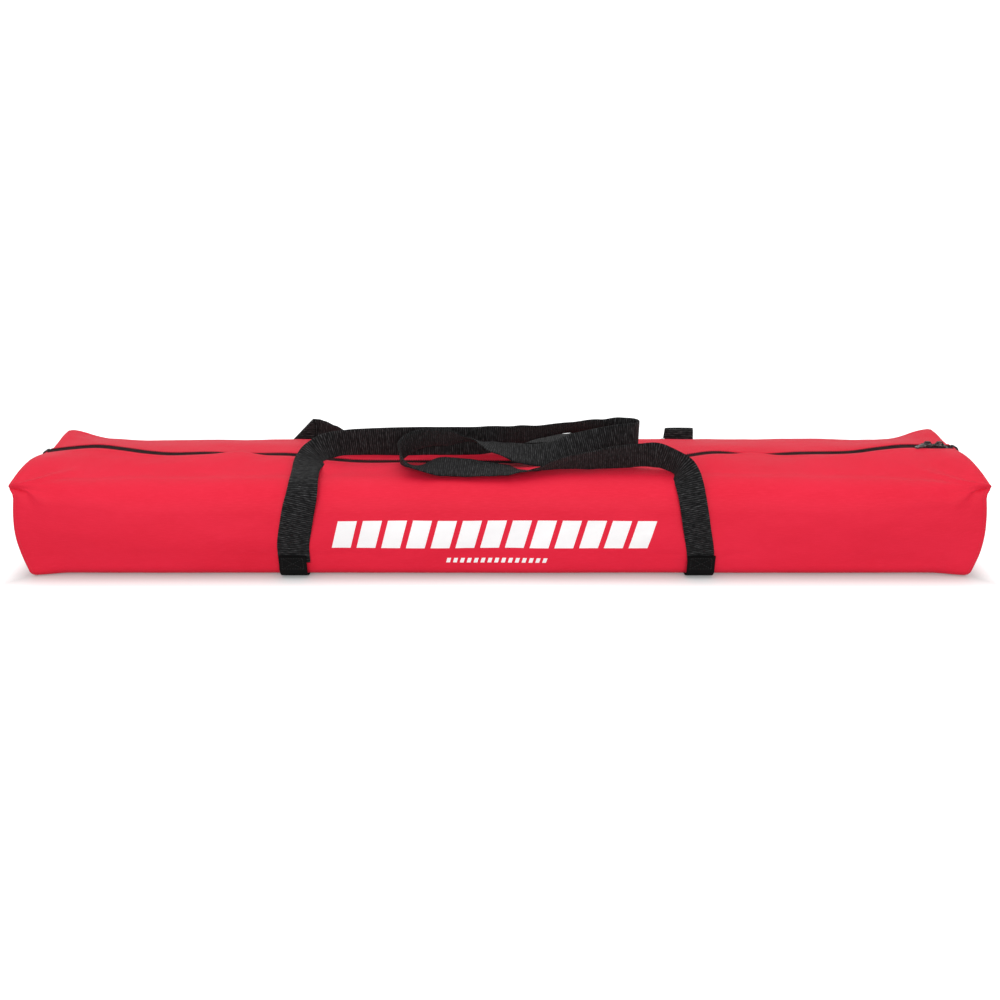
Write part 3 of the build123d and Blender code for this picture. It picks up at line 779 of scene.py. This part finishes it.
def baseStrapRoute(way):
    # up the front, round both lower corners and a little way up the rear
    x = baseStrap["x"][way]
    proud, corner, under = baseStrap["proud"], baseStrap["corner"], baseStrap["under"]
    route = [(x, -proud, baseStrap["frontTop"], across), (x, -proud + 0.2, 18, across)]
    for i in range(7):
        angle = math.radians(90 * i / 6)
        y, z = corner * (1 - math.cos(angle)), corner * (1 - math.sin(angle))
        route.append((x, -proud + y, under + z, across))
    route += [(x, -40, under, across), (x, 0, under, across), (x, 40, under, across)]
    for i in range(7):
        angle = math.radians(90 * (1 - i / 6))
        y, z = corner * (1 - math.cos(angle)), corner * (1 - math.sin(angle))
        route.append((x, proud - y, under + z, across))
    route += [(x, proud - 0.2, 30, across), (x, proud, baseStrap["rearTop"], across)]
    return route


for side, way in (("left", -1), ("right", 1)):
    strap = sweepBand(f"base_strap_{side}", baseStrapRoute(way), smoothWebbing, baseStrap["width"],
                      seed=way, wobble=0.12)
    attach(strap, "bag")
    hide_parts(f"girth_strap_{side}")
print("webbing made")


# Geometry Nodes: small parts set along a line, such as stitches and zip teeth
def alongTree(name, material, shapeKind):
    tree = bpy.data.node_groups.new(name, "GeometryNodeTree")
    face = tree.interface
    face.new_socket("Line", in_out="INPUT", socket_type="NodeSocketGeometry")
    for label, value in (("Spacing", 0.0032), ("Length", 0.0022), ("Width", 0.0005), ("Slant", 0.0)):
        socket = face.new_socket(label, in_out="INPUT", socket_type="NodeSocketFloat")
        socket.default_value = value
    face.new_socket("Seed", in_out="INPUT", socket_type="NodeSocketInt").default_value = 3
    face.new_socket("Parts", in_out="OUTPUT", socket_type="NodeSocketGeometry")
    made = Tree(tree)
    start, end = made.node("NodeGroupInput"), made.node("NodeGroupOutput")
    given = start.outputs
    curve = made.node("GeometryNodeMeshToCurve", {"Mesh": given["Line"]})
    even = made.node("GeometryNodeResampleCurve", {"Curve": curve.outputs[0], "Length": given["Spacing"]},
                     mode="LENGTH")
    points = made.node("GeometryNodeCurveToPoints", {"Curve": even.outputs[0]}, mode="EVALUATED")
    if shapeKind == "stitch":
        ball = made.node("GeometryNodeMeshUVSphere", {"Segments": 6, "Rings": 5, "Radius": 0.5})
        size = made.node("ShaderNodeCombineXYZ", {
            "X": given["Width"], "Y": given["Width"], "Z": given["Length"]})
        shaped = made.node("GeometryNodeTransform", {
            "Geometry": ball.outputs["Mesh"], "Scale": size.outputs[0]})
        part = shaped.outputs[0]
    else:
        # one turn of the coil: a short arc over the tape's edge
        arc = made.node("GeometryNodeCurveArc", {
            "Resolution": 8, "Radius": given["Length"], "Start Angle": math.radians(-35),
            "Sweep Angle": math.radians(250)})
        ring = made.node("GeometryNodeCurvePrimitiveCircle", {"Resolution": 5, "Radius": given["Width"]})
        tube = made.node("GeometryNodeCurveToMesh", {
            "Curve": arc.outputs["Curve"], "Profile Curve": ring.outputs["Curve"], "Fill Caps": True})
        part = tube.outputs[0]
    # a small uneven turn for each part, on top of the slant
    jitter = made.node("FunctionNodeRandomValue", {2: -0.07, 3: 0.07, "Seed": given["Seed"]},
                       data_type="FLOAT")
    axis = "X" if shapeKind == "stitch" else "Y"
    turn = made.node("ShaderNodeCombineXYZ", {axis: made.math("ADD", given["Slant"], jitter.outputs[1])})
    place = made.node("GeometryNodeInstanceOnPoints", {
        "Points": points.outputs["Points"], "Instance": part, "Rotation": points.outputs["Rotation"]})
    tipped = made.node("GeometryNodeRotateInstances", {
        "Instances": place.outputs[0], "Rotation": turn.outputs[0]})
    solid = made.node("GeometryNodeRealizeInstances", {0: tipped.outputs[0]})
    smoothed = made.node("GeometryNodeSetShadeSmooth", {"Geometry": solid.outputs[0]})
    painted = made.node("GeometryNodeSetMaterial", {"Geometry": smoothed.outputs[0], "Material": material})
    made.feed(painted.outputs[0], end.inputs["Parts"])
    return tree


def runAlong(name, lines, tree, material, **values):
    # lines are lists of millimetre points
    mesh = bpy.data.meshes.new(name)
    verts, edges = [], []
    for line in lines:
        first = len(verts)
        verts += [tuple(c * mm for c in point) for point in line]
        edges += [(i, i + 1) for i in range(first, len(verts) - 1)]
    mesh.from_pydata(verts, edges, [])
    piece = bpy.data.objects.new(name, mesh)
    bpy.context.collection.objects.link(piece)
    modifier = piece.modifiers.new(name, "NODES")
    modifier.node_group = tree
    sockets = {item.name: item.identifier for item in tree.interface.items_tree if item.in_out == "INPUT"}
    for key, value in values.items():
        modifier[sockets[key]] = value
    bakeModifiers(piece)
    if not piece.data.materials:
        piece.data.materials.append(material)
    return piece


redStitches = alongTree("redStitchRow", thread, "stitch")
blackStitches = alongTree("blackStitchRow", blackThread, "stitch")
coilTeeth = alongTree("zipCoilTeeth", zipNylon, "coil")

# The zip: tapes under the flaps' lips, a coil on each tape's edge, and metal stops
zipShape = {
    "end": 549.0, "tapeDrop": 0.7, "coilRise": 0.3, "coilOff": 1.9, "coilRadius": 1.9, "wire": 0.5,
    "pitch": 2.1, "tapeHalf": 9.5, "gap": 0.25, "tape": 0.5,
}


def zipLevel(x):
    # where the tapes and coils lie, which is just under the flaps' lips
    y, z = zipPlace(x)
    return y, z - zipShape["tapeDrop"] - 0.8 * foldShare(x)


def buildTape(name, side):
    verts, uvs = [], []
    profile = [(zipShape["gap"], 0.0), (2.0, 0.15), (4.2, 0.0), (6.5, -1.2), (zipShape["tapeHalf"], -3.2)]
    steps = int(2 * zipShape["end"] / 5)
    for i in range(steps + 1):
        x = lerp(-zipShape["end"] - 3, zipShape["end"] + 3, i / steps)
        y, z = zipLevel(x)
        for away, lift in profile:
            verts.append((x, y + side * away, z + lift))
            uvs.append((away * mm, x * mm))
    faces = gridFaces(steps + 1, len(profile))
    if side < 0:
        faces = [tuple(reversed(f)) for f in faces]
    piece = addMesh(name, verts, faces, zipTape, uvs)
    return thicken(piece, zipShape["tape"])


def coilLine(side, shift):
    line = []
    x = -zipShape["end"] + shift
    while x < zipShape["end"]:
        y, z = zipLevel(x)
        line.append((x, y + side * zipShape["coilOff"], z + zipShape["coilRise"]))
        x += 4.0
    return line


for side, way in (("front", -1), ("rear", 1)):
    tape = buildTape(f"zip_tape_cloth_{side}", way)
    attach(tape, "bag")
    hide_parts(f"zip_tape_{side}")
    shift = 0.0 if way < 0 else zipShape["pitch"] / 2
    teeth = runAlong(f"zip_teeth_{side}", [coilLine(way, shift)], coilTeeth, zipNylon,
                     Spacing=zipShape["pitch"] * mm, Length=zipShape["coilRadius"] * mm,
                     Width=zipShape["wire"] * mm, Slant=0.25 * way)
    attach(teeth, "bag")
    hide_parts(f"zip_coil_{side}")
print("zip made")

# Stitches on the flaps' edges, the end seams and the straps
stitch = {"spacing": 3.3, "length": 2.5, "width": 0.55, "flapInset": 3.2, "seamInset": 5.0, "boxHalf": 12.0}


def flapStitchLine(side):
    line = []
    steps = int(2 * (bag["halfLength"] - 12) / 4)
    s = lipShare + (flapShare - lipShare) * stitch["flapInset"] / 62
    for i in range(steps + 1):
        x = lerp(-bag["halfLength"] + 10, bag["halfLength"] - 10, i / steps)
        line.append(shellPoint(x, side, s, 0.08))
    return line


def endStitchLine(way):
    steps = [0.05 + 0.9 * i / 150 for i in range(151)]
    x = way * (bag["halfLength"] - stitch["seamInset"])
    front = [shellPoint(x, -1, s, 0.08) for s in steps]
    rear = [shellPoint(x, 1, s, 0.08) for s in steps]
    return front + rear[::-1]


def boxStitchLine(x, y, low, high, half):
    # a rectangle with a cross inside, sewn on a strap's end
    a, b, c, d = (x - half, y, low), (x + half, y, low), (x + half, y, high), (x - half, y, high)
    return [a, b, c, d, a, c, b, d]


seamSize = {label: stitch[label.lower()] * mm for label in ("Spacing", "Length", "Width")}
flapLines, endLines = [flapStitchLine(-1), flapStitchLine(1)], [endStitchLine(-1), endStitchLine(1)]
flapStitches = runAlong("flap_stitches", flapLines, redStitches, thread, **seamSize)
endStitches = runAlong("end_seam_stitches", endLines, redStitches, thread, **seamSize)
strapLines = []
for x in (baseStrap["x"][-1], baseStrap["x"][1]):
    face = baseStrap["proud"] + 0.95
    strapLines.append(boxStitchLine(x, -face, 13, 26, stitch["boxHalf"]))
    strapLines.append(boxStitchLine(x, face, 42, 60, stitch["boxHalf"]))
strapStitches = runAlong("strap_box_stitches", strapLines, blackStitches, blackThread,
                         Spacing=2.9 * mm, Length=2.2 * mm, Width=0.55 * mm)
for piece, slotName in ((flapStitches, "red_cloth"), (endStitches, "red_cloth"),
                        (strapStitches, "black_webbing")):
    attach(piece, "bag")
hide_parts("strap_end_patches")
print("stitches made")

# The plain print on the front: slanted bars over a row of dashes, following the cloth
printArea = {
    "slant": 0.28, "proud": 0.3, "thickness": 0.25,
    # left, right, low, high, how many, and the share of the pitch that is left bare
    "print_bars": (-192.0, 184.0, 38.0, 71.0, 13, 0.24),
    "print_dashes": (-62.0, 58.0, 19.0, 25.0, 15, 0.45),
}


def faceAt(x, z):
    # the cloth's surface at a place on the front face
    low, high = 0.30, 0.86
    for _ in range(26):
        middle = (low + high) / 2
        if shellPoint(x, -1, middle, printArea["proud"])[2] > z:
            low = middle
        else:
            high = middle
    return shellPoint(x, -1, low, printArea["proud"])


def slantedBlocks(left, right, low, high, count, gapShare):
    verts, faces = [], []
    pitch = (right - left) / count
    for i in range(count):
        x0 = left + i * pitch
        width = pitch * (1 - gapShare)
        nx, nz = max(3, round(width / 4)), max(3, round((high - low) / 4))
        first = len(verts)
        for a in range(nx + 1):
            for b in range(nz + 1):
                z = lerp(low, high, b / nz)
                verts.append(faceAt(x0 + width * a / nx + (z - low) * printArea["slant"], z))
        for a in range(nx):
            for b in range(nz):
                k = first + a * (nz + 1) + b
                faces.append((k, k + nz + 1, k + nz + 2, k + 1))
    return verts, faces


for name in ("print_bars", "print_dashes"):
    left, right, low, high, count, bare = printArea[name]
    verts, faces = slantedBlocks(left, right - (high - low) * printArea["slant"], low, high, count, bare)
    ink = addMesh(name, verts, faces, printInk)
    thicken(ink, printArea["thickness"])
    for polygon in ink.data.polygons:
        polygon.use_smooth = False
    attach(ink, "bag")
print("print made")

# Sliders, pulls and stops, made from flat outlines with softened edges
sliderShape = {
    "left": 517.0, "right": 531.4, "length": 13.0, "wide": 10.5, "narrow": 6.5, "plate": 1.3, "gap": 2.6,
    "bridgeWidth": 3.0, "bridgeRise": 4.6, "hingeOff": 2.0,
}
pullShape = {
    "length": 24.5, "wide": 7.6, "narrow": 5.2, "thickness": 1.3, "slotLength": 4.2, "slotWidth": 3.4,
    "panelStart": 7.2, "panelLength": 13.0,
}


def outlinePlate(name, loops, thickness, material, edge=0.25):
    # closed outlines in millimetres; the second is a hole in the first
    curve = bpy.data.curves.new(name, "CURVE")
    curve.dimensions = "2D"
    curve.fill_mode = "BOTH"
    curve.extrude = (thickness / 2 - edge) * mm
    curve.bevel_depth = edge * mm
    curve.bevel_resolution = 2
    curve.offset = -edge * mm
    for loop in loops:
        spline = curve.splines.new("POLY")
        spline.points.add(len(loop) - 1)
        spline.use_cyclic_u = True
        for point, (x, y) in zip(spline.points, loop):
            point.co = (x * mm, y * mm, 0, 1)
    shaped = bpy.data.objects.new(name, curve)
    bpy.context.collection.objects.link(shaped)
    bpy.context.view_layer.update()
    mesh = bpy.data.meshes.new_from_object(shaped.evaluated_get(bpy.context.evaluated_depsgraph_get()))
    bpy.data.objects.remove(shaped)
    bpy.data.curves.remove(curve)
    mesh.materials.clear()
    mesh.materials.append(material)
    return mesh


def moveMesh(mesh, origin, along, up):
    # the outline's x runs along, its thickness along up
    along = Vector(along).normalized()
    up = Vector(up)
    up = (up - along * up.dot(along)).normalized()
    side = up.cross(along)
    for vertex in mesh.vertices:
        x, y, z = vertex.co
        vertex.co = Vector(origin) * mm + along * x + side * y + up * z


def joinMeshes(name, meshes, material):
    verts, faces = [], []
    for mesh in meshes:
        first = len(verts)
        verts += [tuple(v.co / mm) for v in mesh.vertices]
        faces += [tuple(first + i for i in p.vertices) for p in mesh.polygons]
        bpy.data.meshes.remove(mesh)
    piece = addMesh(name, verts, faces, material)
    for polygon in piece.data.polygons:
        polygon.use_smooth = False
    return piece


def roundLoop(length, wideStart, wideEnd, steps=7, start=0.0):
    # a long outline with round ends, wideStart across where it begins
    loop = []
    r0, r1 = wideStart / 2, wideEnd / 2
    for i in range(steps + 1):
        angle = math.pi / 2 + math.pi * i / steps
        loop.append((start + r0 + r0 * math.cos(angle), r0 * math.sin(angle)))
    for i in range(steps + 1):
        angle = -math.pi / 2 + math.pi * i / steps
        loop.append((start + length - r1 + r1 * math.cos(angle), r1 * math.sin(angle)))
    return loop


def bridgeMesh(x, y, z, length, rise, width, thickness):
    # an arched strap of metal that holds the pull
    verts = []
    steps = 12
    for i in range(steps + 1):
        t = i / steps
        px = x + length * (t - 0.5)
        lift = rise * min(1.0, math.sin(math.pi * t) * 1.5)
        for dy, dz in ((-width / 2, 0), (width / 2, 0), (width / 2, thickness), (-width / 2, thickness)):
            verts.append((px * mm, (y + dy) * mm, (z + lift + dz) * mm))
    faces = gridFaces(steps + 1, 4, True)
    faces += [(3, 2, 1, 0), tuple(range(len(verts) - 4, len(verts)))]
    mesh = bpy.data.meshes.new("bridge")
    mesh.from_pydata(verts, [], [tuple(reversed(f)) for f in faces])
    return mesh


def buildSlider(side, way):
    # two plates with rails between their edges; it gives back the place of the pull's hinge
    x = sliderShape[side]
    y, z = zipLevel(x)
    low = z - 0.9
    high = low + sliderShape["gap"]
    length = sliderShape["length"]
    wide = sliderShape["wide"]
    widths = ((-1, sliderShape["narrow"]), (-0.2, 8.0), (0.35, wide), (0.8, wide - 0.6), (1, 6.0))
    nose = [(length / 2 * share, w / 2) for share, w in widths]
    nose += [(px, -w) for px, w in reversed(nose)]
    plates = []
    for level in (low - sliderShape["plate"], high):
        plate = outlinePlate("plate", [nose], sliderShape["plate"], zipMetal)
        moveMesh(plate, (x, y, level + sliderShape["plate"] / 2), (way, 0, 0), (0, 0, 1))
        plates.append(plate)
    for edge in (-1, 1):
        outline = roundLoop(9.0, 1.1, 1.1, 4, -3.0)
        rail = outlinePlate("rail", [outline], sliderShape["gap"] + 0.6, zipMetal, 0.2)
        moveMesh(rail, (x, y + edge * 4.5, (low + high) / 2), (way, 0, 0), (0, 0, 1))
        plates.append(rail)
    top = high + sliderShape["plate"]
    rise = sliderShape["bridgeRise"] - 1.6
    plates.append(bridgeMesh(x, y, top - 0.3, 9.5, rise, sliderShape["bridgeWidth"], 1.1))
    slider = joinMeshes(f"zip_slider_{side}", plates, zipMetal)
    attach(slider, f"slider_{side}")
    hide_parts(f"slider_{side}")
    return Vector((x - way * sliderShape["hingeOff"], y, top + 1.5))


def buildPull(side, hinge, along, up):
    # a tab with an eye at the hinge and a raised panel
    outer = roundLoop(pullShape["length"], pullShape["wide"], pullShape["narrow"], 10, -1.0)
    hole = roundLoop(pullShape["slotLength"], pullShape["slotWidth"], pullShape["slotWidth"], 8, 0.2)
    inset = roundLoop(pullShape["panelLength"], 3.4, 2.8, 8, pullShape["panelStart"])
    plate = outlinePlate("tab", [outer, hole], pullShape["thickness"], pullMetal, 0.3)
    moveMesh(plate, hinge, along, up)
    panel = outlinePlate("panel", [inset], pullShape["thickness"] + 0.5, pullMetal, 0.2)
    moveMesh(panel, hinge, along, up)
    pull = joinMeshes(f"pull_tab_{side}", [plate, panel], pullMetal)
    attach(pull, f"pull_{side}")
    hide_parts(f"pull_{side}")


# How each pull lies: its direction and its upper side
pullLie = {
    "left": ((-0.88, -0.45, -0.10), (-0.05, -0.1, 1)),
    "right": ((0.90, -0.16, -0.36), (0.4, -0.2, 1)),
}
for side, way in (("left", -1), ("right", 1)):
    hinge = buildSlider(side, way)
    buildPull(side, hinge, *pullLie[side])
    x = way * (zipShape["end"] - 0.5)
    y, z = zipLevel(x)
    stopMesh = outlinePlate("stop", [roundLoop(8.0, 3.0, 3.0, 5, -4.0)], 2.6, zipMetal, 0.5)
    moveMesh(stopMesh, (x, y, z + 0.5), (0, 1, 0), (0, 0, 1))
    stop = joinMeshes(f"zip_end_stop_{side}", [stopMesh], zipMetal)
    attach(stop, "bag")
    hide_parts(f"zip_stop_{side}")
print("sliders and pulls made")

netShape = {"layers": 8, "cloth": 3.6, "sag": 1.4, "columns": 61}
tieShape = {"corner": 22.0, "inset": 4.2, "width": 18.0}
netLow, netHigh = boxMm("net_pack")
tieLow, tieHigh = boxMm("net_tie_1")


def packReach(z):
    # how far the tied bundle reaches at a height, with its corners pressed round
    corner = tieShape["corner"]
    off = max(tieLow.z + 1 + corner - z, z - (tieHigh.z - 1 - corner), 0.0)
    return tieHigh.y - tieShape["inset"] - corner + math.sqrt(max(corner * corner - off * off, 0.0))


def netProfile():
    # a folded run in the y-z plane, back and forth with round folds
    layers = netShape["layers"]
    pitch = (netHigh.z - netLow.z - netShape["cloth"]) / (layers - 1)
    radius = pitch / 2
    reach = netHigh.y - radius - netShape["cloth"] / 2
    points = []
    for i in range(layers):
        z = netLow.z + netShape["cloth"] / 2 + i * pitch
        way = 1 if i % 2 == 0 else -1
        trim = 4.0 * ((i * 7) % 3) / 2
        for j in range(9):
            points.append((way * lerp(-reach + trim, reach - trim, j / 8), z))
        if i < layers - 1:
            for j in range(1, 6):
                angle = -math.pi / 2 + math.pi * j / 6
                out = reach - trim + radius * math.cos(angle)
                points.append((way * out, z + radius + radius * math.sin(angle)))
    return points


def buildNetPack():
    profile = netProfile()
    columns = netShape["columns"]
    verts, uvs = [], []
    run = 0.0
    lengths = [0.0]
    for (y0, z0), (y1, z1) in zip(profile, profile[1:]):
        run += math.hypot(y1 - y0, z1 - z0)
        lengths.append(run)
    for i in range(columns):
        x = lerp(netLow.x + 1, netHigh.x - 1, i / (columns - 1))
        for (y, z), length in zip(profile, lengths):
            soft = noise.noise(Vector((x / 60, y / 40, z / 9)))
            drop = netShape["sag"] * soft * smooth(netLow.z, netLow.z + 12, z)
            drop *= 1 - smooth(netHigh.z - 9, netHigh.z, z) * (1 if soft > 0 else 0)
            squeeze = (1 - 0.02 * abs(soft)) * (packReach(z) - 2.0) / (netHigh.y - 1)
            verts.append((x, y * squeeze, z + drop * 0.6))
            uvs.append((x * mm, length * mm))
    piece = addMesh("folded_net", verts, gridFaces(columns, len(profile)), netCord, uvs)
    return thicken(piece, netShape["cloth"] * 0.75, 0)


foldedNet = buildNetPack()
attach(foldedNet, "bag")
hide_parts("net_pack")
tapeLow, tapeHigh = boxMm("net_top_tape")
for i, y in enumerate((tapeLow.y + 18, tapeHigh.y - 18)):
    z = tapeHigh.z - 1.0
    route = [(tapeLow.x + 3, y, z, (0, 1, 0)), (tapeLow.x / 3, y + 1.5, z, (0, 1, 0)),
             (tapeHigh.x / 3, y - 1, z, (0, 1, 0)), (tapeHigh.x - 3, y, z, (0, 1, 0))]
    band = sweepBand(f"net_top_band_{i + 1}", route, bandCloth, 34.0, 1.4, seed=i, wobble=0.15)
    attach(band, "bag")
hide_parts("net_top_tape")


def tieRoute(x, low, high):
    # once round the folded net
    middle, corner = (low.z + high.z) / 2, tieShape["corner"]
    halfY, halfZ = high.y - tieShape["inset"], (high.z - low.z) / 2 - 1.0
    points = []
    for cy, cz, first in ((1, 1, 0), (-1, 1, 90), (-1, -1, 180), (1, -1, 270)):
        for j in range(5):
            angle = math.radians(first + 90 * j / 4)
            y = cy * (halfY - corner) + corner * math.cos(angle)
            z = cz * (halfZ - corner) + corner * math.sin(angle)
            points.append((x, y, middle + z, across))
    points.append(points[0])
    return points


for number in (1, 2):
    low, high = boxMm(f"net_tie_{number}")
    x = (low.x + high.x) / 2
    tie = sweepBand(f"elastic_tie_{number}", tieRoute(x, low, high), webbing, tieShape["width"], wobble=0.05)
    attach(tie, "bag")
    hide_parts(f"net_tie_{number}")

# Hard parts keep their own shapes and get finishes
finishes = {
    "base_rail": tubePaint, "upright_cap": blackNylon, "upright": tubePaint, "centre_post_cap": blackNylon,
    "centre_post": tubePaint, "foot_bar": tubePaint, "centre_foot_bar": tubePaint,
    "foot_end_caps": blackRubber,
    "snap_button": springSteel, "side_base": blackNylon, "centre_base": blackNylon,
}
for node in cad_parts:
    best = max((key for key in finishes if node.startswith(key)), key=len, default=None)
    if best:
        piece = bpy.data.objects[node]
        piece.data.materials.clear()
        piece.data.materials.append(finishes[best])
print("kit made")

# Camera, floor and lights
view = {"aim": (0, 0, 57 * mm), "distance": 1.079, "elevation": 22.0, "lens": 31.75, "shiftY": 0.0042}


def addCamera():
    lens = bpy.data.cameras.new("camera")
    lens.lens = view["lens"]
    lens.sensor_width = 36.0
    lens.shift_y = view["shiftY"]
    lens.clip_start = 0.01
    camera = bpy.data.objects.new("camera", lens)
    bpy.context.collection.objects.link(camera)
    tilt = math.radians(view["elevation"])
    aim = Vector(view["aim"])
    camera.location = aim + Vector((0, -math.cos(tilt), math.sin(tilt))) * view["distance"]
    camera.rotation_euler = (aim - camera.location).to_track_quat("-Z", "Y").to_euler()
    bpy.context.scene.camera = camera


def addLight(name, place, aim, size, watts, color=(1, 1, 1)):
    light = bpy.data.lights.new(name, "AREA")
    light.shape = "RECTANGLE"
    light.size, light.size_y = size
    light.energy = watts
    light.color = color
    lamp = bpy.data.objects.new(name, light)
    bpy.context.collection.objects.link(lamp)
    lamp.location = place
    lamp.rotation_euler = (Vector(aim) - lamp.location).to_track_quat("-Z", "Y").to_euler()


def addStudio():
    floorMaterial, tree, shader = startMaterial(
        "paleFloor", 0.9, Specular_IOR_Level=0.1, Emission_Color=(1, 1, 1, 1))
    # The floor glows for camera rays only: the glow is weak within a few centimetres of the bag and strong
    # further out, a painted contact shadow that fades into a white floor. The camera sees a lighter floor
    # colour than the bag gets as bounce.
    seen = tree.node("ShaderNodeLightPath").outputs["Is Camera Ray"]
    tree.feed(tree.mixColor(seen, (0.50, 0.50, 0.50, 1), (0.66, 0.66, 0.66, 1)), shader.inputs["Base Color"])
    place = tree.node("ShaderNodeSeparateXYZ", {0: tree.node("ShaderNodeTexCoord").outputs["Object"]})
    sideways = tree.math("SUBTRACT", tree.math("ABSOLUTE", place.outputs["X"]), 0.55)
    endways = tree.math("SUBTRACT", tree.math("ABSOLUTE", place.outputs["Y"]), 0.086)
    away = tree.math("MAXIMUM", sideways, endways)
    paintedShadowGlow = tree.math("MULTIPLY_ADD", tree.ramp(away, 0.0, 0.035), 0.6, 0.12)
    tree.feed(tree.math("MULTIPLY", paintedShadowGlow, seen), shader.inputs["Emission Strength"])
    size = 14.0
    mesh = bpy.data.meshes.new("floor")
    corners = [(-size, -size, 0), (size, -size, 0), (size, size, 0), (-size, size, 0)]
    mesh.from_pydata(corners, [], [(0, 1, 2, 3)])
    mesh.materials.append(floorMaterial)
    floor = bpy.data.objects.new("floor", mesh)
    bpy.context.collection.objects.link(floor)
    world = bpy.data.worlds.new("studio")
    world.use_nodes = True
    sky = Tree(world.node_tree)
    back = sky.nodes["Background"]
    back.inputs["Color"].default_value = (1, 1, 1, 1)
    seen = sky.node("ShaderNodeLightPath")
    sky.feed(sky.math("MULTIPLY_ADD", seen.outputs["Is Camera Ray"], 0.40, 0.70), back.inputs["Strength"])
    bpy.context.scene.world = world
    addLight("overhead", (0, 0.1, 2.2), (0, 0, 0), (2.6, 1.6), 13.5)
    addLight("frontFill", (0, -2.1, 0.80), (0, 0, 0.06), (2.8, 0.7), 23)
    bpy.context.scene.view_settings.view_transform = "Standard"


addCamera()
addStudio()
